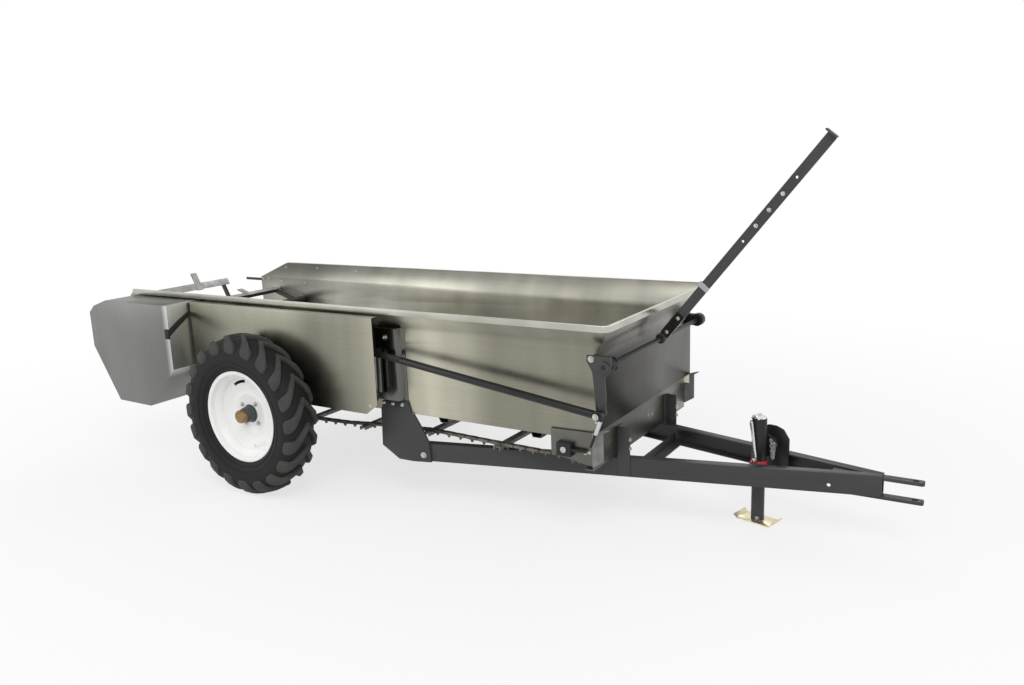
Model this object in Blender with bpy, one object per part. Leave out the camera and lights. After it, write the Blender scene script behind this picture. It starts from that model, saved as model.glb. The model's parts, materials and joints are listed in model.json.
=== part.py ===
"""Ground-driven manure spreader, parked on its jack. Metres, +X to the hitch, +Y left, +Z up."""

import math

import bmesh
import bpy
from mathutils import Matrix, Vector

# Running clearances
GAP = 0.0003
BORE_GAP = 0.0005
MOVING_GAP = 0.006

# Overall reach along X, measured from the axle
FRONT = 2.664
REAR = -1.235
CENTRE_X = (FRONT + REAR) / 2

# Sheet and box
SHEET = 0.0025
WALL_Y = 0.460
WALL_BOTTOM = 0.399
FOLD_Z = 0.769
FLARE_OUT = 0.060
RIM_TOP = 0.852
LIP_OUT = 0.0145
LIP_DROP = 0.023
BOX_REAR = -1.100
FLARE_REAR = -0.933
BOX_FRONT = 1.620
FRONT_FOLD_Z = 0.734
FRONT_FLARE_OUT = 0.057
FRONT_BOTTOM = 0.443
FRONT_FLANGE = 0.030
SILL_WIDE = 0.034
SILL_THICK = 0.004
RIM_CORNER = 0.034
FLOOR_THICK = 0.010
FLOOR_REAR = -0.440
FLOOR_FRONT = 1.440

# Apron: endless chain over two shafts
FRONT_SHAFT_X = 1.480
REAR_SHAFT_X = -0.480
APRON_SHAFT_R = 0.0125
CHAIN_Y = 0.380
CHAIN_HALF = 0.007
CHAIN_WIDE = 0.024
CHAIN_PITCH = 0.0587
CHAIN_PITCH_R = 0.0587
CHAIN_TOOTH = 0.012
SLAT_HIGH = 0.016
SLAT_WIDE = 0.032
SLATS = 12
SPROCKET_WIDE = 0.016
WRAP_SIDES = 12

# Wheels and axle
TYRE_R = 0.362
TYRE_Y = 0.6775
TYRE_HALF = 0.084
LUGS = 20
LUG_HIGH = 0.018
LUG_WIDE = 0.030
LUG_SWEEP = 18
RIM_HALF = 0.0575
RIM_SEAT_R = 0.192
RIM_FLANGE = 0.014
RIM_R = RIM_SEAT_R + RIM_FLANGE
RIM_SIDES = 20
SLOT_R = 0.147
SLOT_ANGLE = 109
AXLE_Z = TYRE_R
AXLE_R = 0.0175
HUB_R = 0.0365
HUB_END_Y = 0.714
DISC_Y = 0.671
CAP_R = 0.0295
CAP_END_Y = 0.738

# Drive chains behind the shields
DRIVE_Y = 0.515
DRIVE_R = 0.049
DRIVE_HALF = 0.004
DRIVE_WIDE = 0.016

# Side shields and hoods
SHIELD_Y = 0.580
SHIELD_REAR = -0.450
SHIELD_FRONT = 0.660
SHIELD_TOP = 0.822
SHIELD_BOTTOM = 0.410
HOOD_Y = 0.700
HOOD_FRONT = -0.463
HOOD_REAR = -1.057
HOOD_TOP = 0.822
HINGE_X = -1.065
HINGE_Y = 0.468

# Draw rails
RAIL_BOTTOM = 0.1924
RAIL_HIGH = 0.0768
RAIL_FLANGE = 0.038
RAIL_WALL = 0.005
RAIL_BEND_X = 0.745
RAIL_START = 0.765
RAIL_END = 2.525
HITCH_HALF = 0.0235
BRACKET_THICK = 0.008
STRAP_THICK = 0.012
STRAP_REAR = 2.350
HITCH_HOLE_X = 2.634
HITCH_HOLE_R = 0.011

# Beater
BEATER_X = -0.760
BEATER_Z = 0.640
BEATER_BAR_R = 0.215
BEATER_TIP_R = 0.272
BEATER_TUBE_R = 0.030
BEATER_SHAFT_R = 0.0125
BEATER_ANGLE = 117.8
BEATER_TILT = 46

# Control shaft, lever and linkage
CONTROL_X = 1.672
CONTROL_Z = 0.705
CONTROL_R = 0.0095
LEVER_ANGLE = 50.7
LEVER_LONG = 1.000
LEVER_WIDE = 0.038
LEVER_THICK = 0.008
CRANK_PIN_X = 1.652
CRANK_PIN_Z = 0.529
CRANK_Y = 0.515
LINK_Y = 0.540
LINK_R = 0.015
LINK_REAR_X = 0.621
LINK_REAR_Z = 0.667
REAR_ARM_Z = 0.492
REAR_ARM_X = 0.618

# Jack
JACK_X = 2.070
JACK_Y = 0.012
JACK_TUBE_R = 0.029
JACK_LEG_R = 0.026
JACK_PIVOT_Z = 0.305
JACK_TOP = 0.405

RAIL_SLOPE = (WALL_Y - HITCH_HALF) / (RAIL_END - RAIL_BEND_X)
RAIL_ANGLE = math.atan(RAIL_SLOPE)


def clear_scene():
    for obj in list(bpy.data.objects):
        bpy.data.objects.remove(obj, do_unlink=True)


def place(name, bm):
    bmesh.ops.recalc_face_normals(bm, faces=bm.faces)
    mesh = bpy.data.meshes.new(name)
    bm.to_mesh(mesh)
    bm.free()
    obj = bpy.data.objects.new(name, mesh)
    bpy.context.scene.collection.objects.link(obj)
    return obj


def prism(outline, axis, start, end, name="piece"):
    """Closed solid: an outline drawn across the axis, pushed from start to end."""
    order = {"x": (2, 0, 1), "y": (0, 2, 1), "z": (0, 1, 2)}[axis]
    bm = bmesh.new()
    rings = []
    for level in (start, end):
        ring = []
        for a, b in outline:
            values = (a, b, level)
            ring.append(bm.verts.new([values[i] for i in order]))
        rings.append(ring)
    bm.faces.new(rings[0])
    bm.faces.new(rings[1])
    count = len(outline)
    for i in range(count):
        j = (i + 1) % count
        bm.faces.new((rings[0][i], rings[0][j], rings[1][j], rings[1][i]))
    return place(name, bm)


def block(x, y, z, name="piece"):
    return prism([(x[0], y[0]), (x[1], y[0]), (x[1], y[1]), (x[0], y[1])], "z", z[0], z[1], name)


def circle(centre, radius, count=12, phase=0.5):
    points = []
    for i in range(count):
        angle = 2 * math.pi * (i + phase) / count
        points.append((centre[0] + radius * math.cos(angle), centre[1] + radius * math.sin(angle)))
    return points


def rod(axis, centre, radius, start, end, count=12, name="piece"):
    return prism(circle(centre, radius, count), axis, start, end, name)


def strip(points, thick):
    """Outline of bent sheet: the given line and the same line moved to its left."""
    normals = []
    for a, b in zip(points, points[1:]):
        along = Vector((b[0] - a[0], b[1] - a[1])).normalized()
        normals.append(Vector((-along.y, along.x)))
    moved = []
    for i, point in enumerate(points):
        before = normals[max(i - 1, 0)]
        after = normals[min(i, len(normals) - 1)]
        mitre = (before + after).normalized()
        moved.append(Vector(point) + mitre * (thick / max(mitre.dot(after), 0.2)))
    return [tuple(p) for p in points] + [tuple(p) for p in reversed(moved)]


def turned(profile, centre, count, name="piece"):
    """Closed ring: a closed (y, r) outline turned about a line along Y through centre (x, z)."""
    bm = bmesh.new()
    rings = []
    for i in range(count):
        angle = 2 * math.pi * (i + 0.5) / count
        ring = []
        for y, r in profile:
            ring.append(bm.verts.new((centre[0] + r * math.cos(angle), y, centre[1] + r * math.sin(angle))))
        rings.append(ring)
    points = len(profile)
    for i in range(count):
        here, there = rings[i], rings[(i + 1) % count]
        for j in range(points):
            k = (j + 1) % points
            bm.faces.new((here[j], here[k], there[k], there[j]))
    return place(name, bm)


def boolean(obj, tool, operation):
    modifier = obj.modifiers.new("step", "BOOLEAN")
    modifier.object = tool
    modifier.operation = operation
    modifier.solver = "EXACT"
    graph = bpy.context.evaluated_depsgraph_get()
    mesh = bpy.data.meshes.new_from_object(obj.evaluated_get(graph))
    obj.modifiers.clear()
    obj.data = mesh
    bpy.data.objects.remove(tool, do_unlink=True)
    return obj


def union(name, first, *others):
    for other in others:
        boolean(first, other, "UNION")
    first.name = name
    return first


def cut(obj, *tools):
    for tool in tools:
        boolean(obj, tool, "DIFFERENCE")
    return obj


def common(obj, tool):
    return boolean(obj, tool, "INTERSECT")


def moved(obj, matrix):
    obj.data.transform(matrix)
    return obj


def copied(obj, name):
    twin = bpy.data.objects.new(name, obj.data.copy())
    bpy.context.scene.collection.objects.link(twin)
    return twin


def mirrored(obj, name):
    """The same piece on the other side of the machine's centre plane."""
    twin = copied(obj, name)
    twin.data.transform(Matrix.Diagonal((1, -1, 1, 1)))
    twin.data.flip_normals()
    return twin


def right_y(points):
    """An outline drawn with y outward, put on the right-hand side."""
    return [(-y, z) for y, z in points]


# Box: side walls, front panel, rim, floor
def flare_y(z):
    """How far out the flare's outer face is at height z."""
    return WALL_Y + (FLARE_OUT + SHEET) * (z - FOLD_Z) / (RIM_TOP - FOLD_Z)


def side_line():
    """Outer face of a side wall from its lower edge up past the flare's top edge."""
    top = RIM_TOP + 0.010
    return [
        (WALL_Y, WALL_BOTTOM),
        (WALL_Y, FOLD_Z),
        (flare_y(top), top),
    ]


def front_line():
    top = RIM_TOP + 0.010
    share = (top - FRONT_FOLD_Z) / (RIM_TOP - FRONT_FOLD_Z)
    return [
        (BOX_FRONT, FRONT_BOTTOM),
        (BOX_FRONT, FRONT_FOLD_Z),
        (BOX_FRONT + (FRONT_FLARE_OUT + SHEET) * share, top),
    ]


def trim_top(obj):
    """Level top edge, just under the rim's flange."""
    return cut(obj, block((-2, 3), (-1, 1), (RIM_TOP - SHEET - GAP, RIM_TOP + 0.1)))


def box_walls():
    wall = prism(right_y(strip(side_line(), SHEET)), "x", BOX_REAR, BOX_FRONT + 0.1)
    front = front_line()
    inner = strip(front, SHEET + GAP)[len(front):]
    ahead = [(BOX_FRONT + 0.3, 0.3), (inner[-1][0], 0.3)] + list(reversed(inner)) + [
        (inner[0][0], 0.95),
        (BOX_FRONT + 0.3, 0.95),
    ]
    cut(wall, prism(ahead, "y", -0.7, 0.0))
    # The flare's rear end is cut on a slope down to the fold
    slope = [
        (BOX_REAR - 0.1, 0.95), (FLARE_REAR, 0.95), (FLARE_REAR, RIM_TOP), (BOX_REAR, FOLD_Z),
        (BOX_REAR - 0.1, FOLD_Z),
    ]
    cut(wall, prism(slope, "y", -0.7, 0.0))
    trim_top(wall)
    wall.name = "box_side_right"
    cut(wall, rod("y", (BEATER_X, BEATER_Z), BEATER_SHAFT_R + MOVING_GAP, -0.6, -0.3))
    mirrored(wall, "box_side_left")

    panel = prism(strip(front, SHEET), "y", -0.7, 0.7)
    outside = [(WALL_Y, 0.2)] + side_line()[1:] + [(side_line()[-1][0], 0.95)]
    keep = [(-y, z) for y, z in outside] + [(y, z) for y, z in reversed(outside)]
    common(panel, prism(keep, "x", 1.4, 1.8))
    trim_top(panel)
    # Its side edges are folded back along the walls, which are bolted to them
    for sign in (-1, 1):
        near = sign * (WALL_Y - SHEET - GAP)
        far = sign * (WALL_Y - 2 * SHEET - GAP)
        depth = (BOX_FRONT - FRONT_FLANGE, BOX_FRONT - 0.0005)
        boolean(
            panel, block(depth, sorted((near, far)), (FRONT_BOTTOM + 0.004, FRONT_FOLD_Z - 0.012)), "UNION",
        )
    panel.name = "box_front"


def corner_path(offset):
    """Plan line of the rim, right rear to left rear, moved outward by offset."""
    side = WALL_Y + FLARE_OUT
    front = BOX_FRONT + FRONT_FLARE_OUT
    radius = RIM_CORNER - LIP_OUT
    points = [(FLARE_REAR, -(side + offset))]
    for sign in (-1, 1):
        arc = []
        for i in range(7):
            angle = math.radians(15 * i)
            r = max(radius + offset, 0.004)
            cx = front - radius
            cy = side - radius
            arc.append((cx + r * math.sin(angle), sign * (cy + r * math.cos(angle))))
        points += arc if sign < 0 else list(reversed(arc))
    points.append((FLARE_REAR, side + offset))
    return points


def box_rim():
    section = [
        (0.0, RIM_TOP),
        (LIP_OUT, RIM_TOP),
        (LIP_OUT, RIM_TOP - LIP_DROP),
        (LIP_OUT - SHEET, RIM_TOP - LIP_DROP),
        (LIP_OUT - SHEET, RIM_TOP - SHEET),
        (0.0, RIM_TOP - SHEET),
    ]
    lines = [corner_path(offset) for offset, z in section]
    bm = bmesh.new()
    rings = []
    for i in range(len(lines[0])):
        rings.append([bm.verts.new((
            lines[j][i][0], lines[j][i][1], section[j][1],
        )) for j in range(len(section))])
    count = len(section)
    for here, there in zip(rings, rings[1:]):
        for j in range(count):
            k = (j + 1) % count
            bm.faces.new((here[j], here[k], there[k], there[j]))
    bm.faces.new(rings[0])
    bm.faces.new(rings[-1])
    place("box_rim", bm)


def box_floor():
    bottom = WALL_BOTTOM + SHEET + GAP
    half = WALL_Y - SHEET - GAP
    block((FLOOR_REAR, FLOOR_FRONT), (-half, half), (bottom, bottom + FLOOR_THICK), "box_floor")


HATS = (-0.330, 0.110, 0.450, 0.905, 1.345)


def floor_frame():
    """Hat-section cross-members joined by a sill along the foot of each wall."""
    top = WALL_BOTTOM + SHEET
    sills = []
    for sign in (-1, 1):
        near = sign * (WALL_Y - SHEET - GAP)
        far = sign * (WALL_Y - SILL_WIDE)
        sills.append(block((BOX_REAR, FLOOR_FRONT - 0.01), sorted((near, far)), (top - SILL_THICK, top)))
    frame = sills[0]
    for x in HATS:
        line = [(x - 0.045, top - 0.003), (x - 0.028, top - 0.003), (x - 0.018, top - 0.025),
                (x + 0.018, top - 0.025), (x + 0.028, top - 0.003), (x + 0.045, top - 0.003)]
        hat = prism(strip(line, SHEET), "y", -WALL_Y + SHEET + 0.003, WALL_Y - SHEET - 0.003)
        boolean(frame, hat, "UNION")
    union("floor_frame", frame, sills[1])


# Apron, its shafts and the channel across the front
CHAIN_TOP = WALL_BOTTOM + SHEET + GAP + FLOOR_THICK + GAP + CHAIN_HALF
SHAFT_Z = CHAIN_TOP - CHAIN_PITCH_R
# Height of the slack return run above or below its straight line, by share of the way back
HOOK = ((-0.010, 0.0), (-0.002, CHAIN_TOOTH), (0.010, 0.0))
RETURN_RUN = (
    (0.08, -0.006), (0.21, -0.001), (0.36, 0.007), (0.48, -0.005), (0.60, -0.024), (0.74, -0.032),
    (0.88, -0.018),
)


def wrap(x, z, radius, start, sides=WRAP_SIDES, turn=-180):
    """Points of a chain line round a sprocket, from the start angle through the turn."""
    points = []
    steps = int(round(sides * abs(turn) / 360))
    for i in range(steps + 1):
        angle = math.radians(start + turn * i / steps)
        points.append((x + radius * math.cos(angle), z + radius * math.sin(angle)))
    return points


def apron_path():
    """Chain centre line in XZ: along the floor, down round the front shaft and back underneath."""
    points = wrap(FRONT_SHAFT_X, SHAFT_Z, CHAIN_PITCH_R, 90)
    low = SHAFT_Z - CHAIN_PITCH_R
    for share, rise in RETURN_RUN:
        points.append((FRONT_SHAFT_X + (REAR_SHAFT_X - FRONT_SHAFT_X) * share, low + rise))
    return points + wrap(REAR_SHAFT_X, SHAFT_Z, CHAIN_PITCH_R, 270)


def closed_offset(points, distance):
    """A closed line moved by distance to its left."""
    result = []
    count = len(points)
    for i in range(count):
        a = Vector(points[i - 1])
        b = Vector(points[i])
        c = Vector(points[(i + 1) % count])
        n1 = (b - a).normalized()
        n2 = (c - b).normalized()
        mitre = (Vector((-n1.y, n1.x)) + Vector((-n2.y, n2.x))).normalized()
        result.append(tuple(b + mitre * (distance / mitre.dot(Vector((-n2.y, n2.x))))))
    return result


def loop_band(points, half, y0, y1):
    outer = closed_offset(points, half)
    inner = closed_offset(points, -half)
    bm = bmesh.new()
    rings = []
    for line, y in ((outer, y0), (outer, y1), (inner, y1), (inner, y0)):
        rings.append([bm.verts.new((x, y, z)) for x, z in line])
    count = len(points)
    for a in range(4):
        b = (a + 1) % 4
        for i in range(count):
            j = (i + 1) % count
            bm.faces.new((rings[a][i], rings[a][j], rings[b][j], rings[b][i]))
    return place("piece", bm)


def path_points(points, spacing):
    """Evenly spaced places along a closed line, each with its direction."""
    lengths = segment_lengths(points)
    total = sum(lengths)
    number = int(round(total / spacing))
    result = []
    for n in range(number):
        goal = total * (n + 0.5) / number
        i = 0
        while goal > lengths[i]:
            goal -= lengths[i]
            i += 1
        a = Vector(points[i])
        b = Vector(points[(i + 1) % len(points)])
        along = (b - a).normalized()
        result.append((a + along * goal, along))
    return result


def segment_lengths(points):
    count = len(points)
    return [(Vector(points[(i + 1) % count]) - Vector(points[i])).length for i in range(count)]


def hook_height(place_at, pitch):
    """Rise of the hook profile at a distance along the chain."""
    along = place_at % pitch - pitch / 2
    for (x0, h0), (x1, h1) in zip(HOOK, HOOK[1:]):
        if x0 <= along <= x1:
            return h0 + (h1 - h0) * (along - x0) / (x1 - x0)
    return 0.0


def strand(points, y0, y1):
    """Closed run of links in one band, with a hook on the outer side of each link."""
    count = len(points)
    lengths = segment_lengths(points)
    total = sum(lengths)
    number = int(round(total / CHAIN_PITCH))
    pitch = total / number
    inner = closed_offset(points, -CHAIN_HALF)
    runs = []
    passed = 0.0
    for i in range(count):
        before = (Vector(points[i]) - Vector(points[i - 1])).normalized()
        a = Vector(points[i])
        along = (Vector(points[(i + 1) % count]) - a).normalized()
        outward = Vector((-along.y, along.x))
        mitre = (Vector((-before.y, before.x)) + outward).normalized()
        run = [a + mitre * ((CHAIN_HALF + hook_height(passed, pitch)) / mitre.dot(outward))]
        for n in range(number):
            for shift, rise in HOOK:
                here = pitch * (n + 0.5) + shift - passed
                if 0.0005 < here < lengths[i] - 0.0005:
                    run.append(a + along * here + outward * (CHAIN_HALF + rise))
        runs.append(run)
        passed += lengths[i]
    bm = bmesh.new()
    sides = []
    for y in (y0, y1):
        outer_points = [[bm.verts.new((p.x, y, p.y)) for p in run] for run in runs]
        inner_points = [bm.verts.new((x, y, z)) for x, z in inner]
        sides.append((outer_points, inner_points))
    (outer0, inner0), (outer1, inner1) = sides
    for i in range(count):
        j = (i + 1) % count
        line0 = outer0[i] + [outer0[j][0]]
        line1 = outer1[i] + [outer1[j][0]]
        for k in range(len(line0) - 1):
            bm.faces.new((line0[k], line0[k + 1], line1[k + 1], line1[k]))
        bm.faces.new((inner0[i], inner0[j], inner1[j], inner1[i]))
        bm.faces.new(line0 + [inner0[j], inner0[i]])
        bm.faces.new(line1 + [inner1[j], inner1[i]])
    return place("piece", bm)


def apron():
    """Two strands of hooked links joined by slats."""
    points = apron_path()
    band = strand(points, -CHAIN_Y - CHAIN_WIDE / 2, -CHAIN_Y + CHAIN_WIDE / 2)
    other = mirrored(band, "piece")
    for place_at, along in path_points(points, sum(segment_lengths(points)) / SLATS):
        outward = Vector((-along.y, along.x))
        centre = place_at + outward * (CHAIN_HALF - 0.001)
        a = centre - along * (SLAT_WIDE / 2)
        b = centre + along * (SLAT_WIDE / 2)
        line = [tuple(a + outward * SLAT_HIGH), tuple(a), tuple(b), tuple(b + outward * SLAT_HIGH)]
        slat = prism(strip(line, 0.004), "y", -CHAIN_Y - 0.03, CHAIN_Y + 0.03)
        boolean(band, slat, "UNION")
    union("apron", band, other)


def apron_shafts():
    # The wrapped chain and the sprockets share their facets
    root = CHAIN_PITCH_R - (CHAIN_HALF + GAP) / math.cos(math.pi / WRAP_SIDES)
    for name, x, reach in (
        ("front_shaft", FRONT_SHAFT_X, 0.494), ("rear_shaft", REAR_SHAFT_X, DRIVE_Y + 0.020),
    ):
        shaft = rod("y", (x, SHAFT_Z), APRON_SHAFT_R, -reach, reach)
        for sign in (-1, 1):
            y = sign * CHAIN_Y
            disc = prism(
                circle((x, SHAFT_Z), root, WRAP_SIDES, 0), "y", y - SPROCKET_WIDE / 2,
                y + SPROCKET_WIDE / 2,
            )
            boolean(shaft, disc, "UNION")
        if name == "rear_shaft":
            boolean(shaft, drive_disc(x, SHAFT_Z, 1), "UNION")
        shaft.name = name


def drive_disc(x, z, sign):
    """Plain sprocket blank that fills a drive chain's loop with running clearance."""
    radius = DRIVE_R * math.cos(math.pi / WRAP_SIDES) - DRIVE_HALF - BORE_GAP
    ends = sorted((sign * (DRIVE_Y - 0.004), sign * (DRIVE_Y + 0.004)))
    return prism(circle((x, z), radius, 20), "y", *ends)


def drive_chains():
    """Right: wheel to beater. Left: wheel to the rear apron shaft."""
    runs = (
        ("drive_chain_right", -1, BEATER_X, BEATER_Z),
        ("drive_chain_left", 1, REAR_SHAFT_X, SHAFT_Z),
    )
    for name, sign, x, z in runs:
        lean = math.degrees(math.atan2(z - AXLE_Z, x))
        points = wrap(0, AXLE_Z, DRIVE_R, lean - 90) + wrap(x, z, DRIVE_R, lean + 90)
        ends = sorted((sign * (DRIVE_Y - DRIVE_WIDE / 2), sign * (DRIVE_Y + DRIVE_WIDE / 2)))
        loop_band(points, DRIVE_HALF, *ends).name = name


def front_channel():
    """Channel across the front under the box, with a side plate welded to each end."""
    web = BOX_FRONT - 0.028
    bottom, top = 0.283, 0.430
    line = [(web - 0.038, bottom), (web, bottom), (web, top), (web - 0.030, top)]
    plate = 0.006
    channel = prism(strip(line, 0.004), "y", -WALL_Y - GAP - 0.001, WALL_Y + GAP + 0.001)
    # Its ends are notched where the walls stand
    for sign in (-1, 1):
        notch = sorted((sign * (WALL_Y - SHEET - GAP), sign * (WALL_Y + 0.01)))
        cut(channel, block((1.5, 1.7), notch, (WALL_BOTTOM - GAP, 0.5)))
    back = FRONT_SHAFT_X - 0.065
    outline = [(back, 0.330), (back + 0.054, 0.322), (web - 0.035, 0.306), (web - 0.0005, 0.303),
               (web - 0.0005, 0.434), (back, 0.430)]
    for sign in (-1, 1):
        ends = sorted((sign * (WALL_Y + GAP), sign * (WALL_Y + GAP + plate)))
        boolean(channel, prism(outline, "y", *ends), "UNION")
    # Slots for the take-up of the front shaft
    slot_r = APRON_SHAFT_R + 0.0015
    rear, front = FRONT_SHAFT_X - 0.025, FRONT_SHAFT_X + 0.025
    slot = [
        (rear, SHAFT_Z - slot_r), (front, SHAFT_Z - slot_r), (front, SHAFT_Z + slot_r),
        (rear, SHAFT_Z + slot_r),
    ]
    cut(channel, prism(slot, "y", -0.6, -0.4), prism(slot, "y", 0.4, 0.6))
    channel.name = "front_channel"


def take_up():
    inner = WALL_Y + GAP + 0.006 + GAP
    front = FRONT_SHAFT_X + 0.030
    body = block((FRONT_SHAFT_X - 0.030, front), (-inner - 0.024, -inner), (SHAFT_Z - 0.026, SHAFT_Z + 0.026))
    screw = rod("x", (-inner - 0.012, SHAFT_Z), 0.006, front - 0.001, front + 0.060, 12)
    union("take_up_right", body, screw)
    cut(body, rod("y", (FRONT_SHAFT_X, SHAFT_Z), APRON_SHAFT_R + GAP, -0.6, -0.4))
    mirrored(body, "take_up_left")


def rear_bearing():
    inner = WALL_Y + GAP
    low = SHAFT_Z - 0.040
    outline = [
        (REAR_SHAFT_X - 0.035, 0.450), (REAR_SHAFT_X - 0.035, low + 0.016), (REAR_SHAFT_X - 0.018, low),
        (REAR_SHAFT_X + 0.018, low), (REAR_SHAFT_X + 0.035, low + 0.016), (REAR_SHAFT_X + 0.035, 0.450),
    ]
    plate = prism(outline, "y", -inner - 0.006, -inner)
    boss = rod("y", (REAR_SHAFT_X, SHAFT_Z), 0.030, -inner - 0.024, -inner - 0.005)
    union("rear_bearing_right", plate, boss)
    cut(plate, rod("y", (REAR_SHAFT_X, SHAFT_Z), APRON_SHAFT_R + GAP, -0.6, -0.4))
    mirrored(plate, "rear_bearing_left")


# Wheels
def axle():
    shaft = rod("y", (0, AXLE_Z), AXLE_R, -0.712, 0.712)
    outline = [
        (-0.085, 0.470), (-0.085, 0.420), (-0.035, 0.325), (0.035, 0.325), (0.085, 0.420), (0.085, 0.470),
    ]
    for sign in (-1, 1):
        ends = sorted((sign * (WALL_Y + GAP), sign * (WALL_Y + GAP + 0.008)))
        boolean(shaft, prism(outline, "y", *ends), "UNION")
    shaft.name = "axle"


def wheel():
    out = -(TYRE_Y + RIM_HALF)
    inn = -(TYRE_Y - RIM_HALF)
    seat = RIM_SEAT_R
    well = RIM_SEAT_R - 0.020
    rim_profile = [
        (out, RIM_R), (out + 0.003, RIM_R), (out + 0.003, seat), (out + 0.024, seat), (-TYRE_Y, well),
        (inn - 0.024, seat), (inn - 0.003, seat), (inn - 0.003, RIM_R), (inn, RIM_R), (inn, seat - 0.003),
        (inn - 0.0235, seat - 0.003), (-TYRE_Y + 0.0035, well - 0.003), (-DISC_Y + 0.0035, 0.085),
        (-DISC_Y + 0.0035, HUB_R + 0.0035), (-DISC_Y, HUB_R + 0.0035), (-DISC_Y, 0.086),
        (-TYRE_Y - 0.0005, well - 0.004), (out + 0.0235, seat - 0.003), (out, seat - 0.003),
    ]
    rim = turned(rim_profile, (0, AXLE_Z), RIM_SIDES, "wheel_rim_right")
    # Two slots in the disc, opposite each other
    for degrees in (SLOT_ANGLE, SLOT_ANGLE + 180):
        slot = block((-0.030, 0.030), (-0.70, -0.65), (SLOT_R - 0.007, SLOT_R + 0.007))
        turn = Matrix.Translation((0, 0, AXLE_Z)) @ Matrix.Rotation(math.radians(90 - degrees), 4, "Y")
        cut(rim, moved(slot, turn))
    rubber = tyre()
    face = -DISC_Y + 0.0035 + GAP
    hub_profile = [
        (-DRIVE_Y + 0.012, AXLE_R + BORE_GAP), (-DRIVE_Y + 0.012, 0.028), (-0.590, 0.028), (-0.590, 0.034),
        (-DISC_Y + 0.0125, 0.034), (-DISC_Y + 0.0118, 0.070), (face, 0.070), (face, HUB_R),
        (-HUB_END_Y, CAP_R + 0.0015), (-HUB_END_Y, AXLE_R + BORE_GAP),
    ]
    hub = turned(hub_profile, (0, AXLE_Z), 16, "hub_right")
    cap = rod("y", (0, AXLE_Z), CAP_R, -CAP_END_Y, -HUB_END_Y + 0.0005, 16)
    disc = drive_disc(0, AXLE_Z, -1)
    cut(disc, rod("y", (0, AXLE_Z), AXLE_R + 0.004, -0.6, -0.4))
    union("hub_right", hub, cap, disc)
    for piece, name in ((rim, "wheel_rim_left"), (rubber, "tyre_left"), (hub, "hub_left")):
        mirrored(piece, name)


def casing_r(y):
    """Radius of the smooth casing at a distance y from the tyre's middle plane."""
    base = TYRE_R - LUG_HIGH
    share = min(abs(y) / (TYRE_HALF - 0.010), 1.0)
    return base - 0.026 * share ** 2.5


def tyre():
    """Casing with slanted bars, from the tread's middle over the shoulder onto the side wall."""
    shoulder = TYRE_HALF - 0.010
    stations = (
        # distance from the middle, casing radius, bar radius, share of the sweep, share of the width
        (0.0, casing_r(0.0), TYRE_R, 0.0, 1.0),
        (shoulder * 0.5, casing_r(shoulder * 0.5), TYRE_R - 0.002, -0.45, 1.1),
        (shoulder, casing_r(shoulder), TYRE_R - 0.020, -0.85, 1.7),
        (TYRE_HALF, TYRE_R - 0.070, TYRE_R - 0.070, -1.0, 1.7),
    )
    pitch = 360 / LUGS
    wide = math.degrees(LUG_WIDE / TYRE_R)
    bm = bmesh.new()

    def point(y, radius, degrees):
        angle = math.radians(degrees)
        return bm.verts.new((radius * math.cos(angle), y - TYRE_Y, AXLE_Z + radius * math.sin(angle)))

    def ring(y, radius):
        return [point(y, radius, 360 * (i + 0.5) / RIM_SIDES) for i in range(RIM_SIDES)]

    # The middle line is shared: start and end of each right bar, then of each left bar
    middle = []
    for i in range(LUGS):
        for start in (0.0, pitch / 2):
            middle.append([point(0.0, casing_r(0.0), pitch * i + start + edge) for edge in (0.0, wide)])
    beads = []
    for sign in (-1, 1):
        first = 0 if sign < 0 else 1
        low = []
        high = []
        for y, casing, bar, share, spread in stations:
            low_row = []
            high_row = []
            edges = (wide * (1 - spread) / 2, wide * (1 + spread) / 2)
            for i in range(LUGS):
                start = pitch * i + first * pitch / 2 + LUG_SWEEP * share
                if y == 0.0:
                    low_row.append(middle[2 * i + first])
                else:
                    low_row.append([point(sign * y, casing, start + edge) for edge in edges])
                if bar == casing:
                    high_row.append(low_row[-1])
                else:
                    high_row.append([point(sign * y, bar, start + edge) for edge in edges])
            low.append(low_row)
            high.append(high_row)
        for i in range(LUGS):
            j = (i + 1) % LUGS
            bm.faces.new(low[0][i] + high[0][i][::-1])
            between = middle[(2 * i + first + 1) % (2 * LUGS)]
            for k in range(3):
                bm.faces.new(high[k][i] + high[k + 1][i][::-1])
                for edge in (0, 1):
                    wall = [low[k][i][edge], high[k][i][edge], high[k + 1][i][edge]]
                    if high[k + 1][i] is not low[k + 1][i]:
                        wall.append(low[k + 1][i][edge])
                    bm.faces.new(wall)
                gap = [low[k][i][1]] + (between if k == 0 else []) + [
                    low[k][j][0], low[k + 1][j][0], low[k + 1][i][1],
                ]
                bm.faces.new(gap)
        bead = ring(sign * 0.054, RIM_R + 0.0012)
        rim = [corner for pair in low[3] for corner in pair]
        stitch(bm, rim, bead)
        seat = ring(sign * 0.054, RIM_SEAT_R + 0.0012)
        for i in range(RIM_SIDES):
            j = (i + 1) % RIM_SIDES
            bm.faces.new((bead[i], bead[j], seat[j], seat[i]))
        beads.append(seat)
    for i in range(RIM_SIDES):
        j = (i + 1) % RIM_SIDES
        bm.faces.new((beads[0][i], beads[0][j], beads[1][j], beads[1][i]))
    bmesh.ops.triangulate(bm, faces=bm.faces)
    return place("tyre_right", bm)


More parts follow.
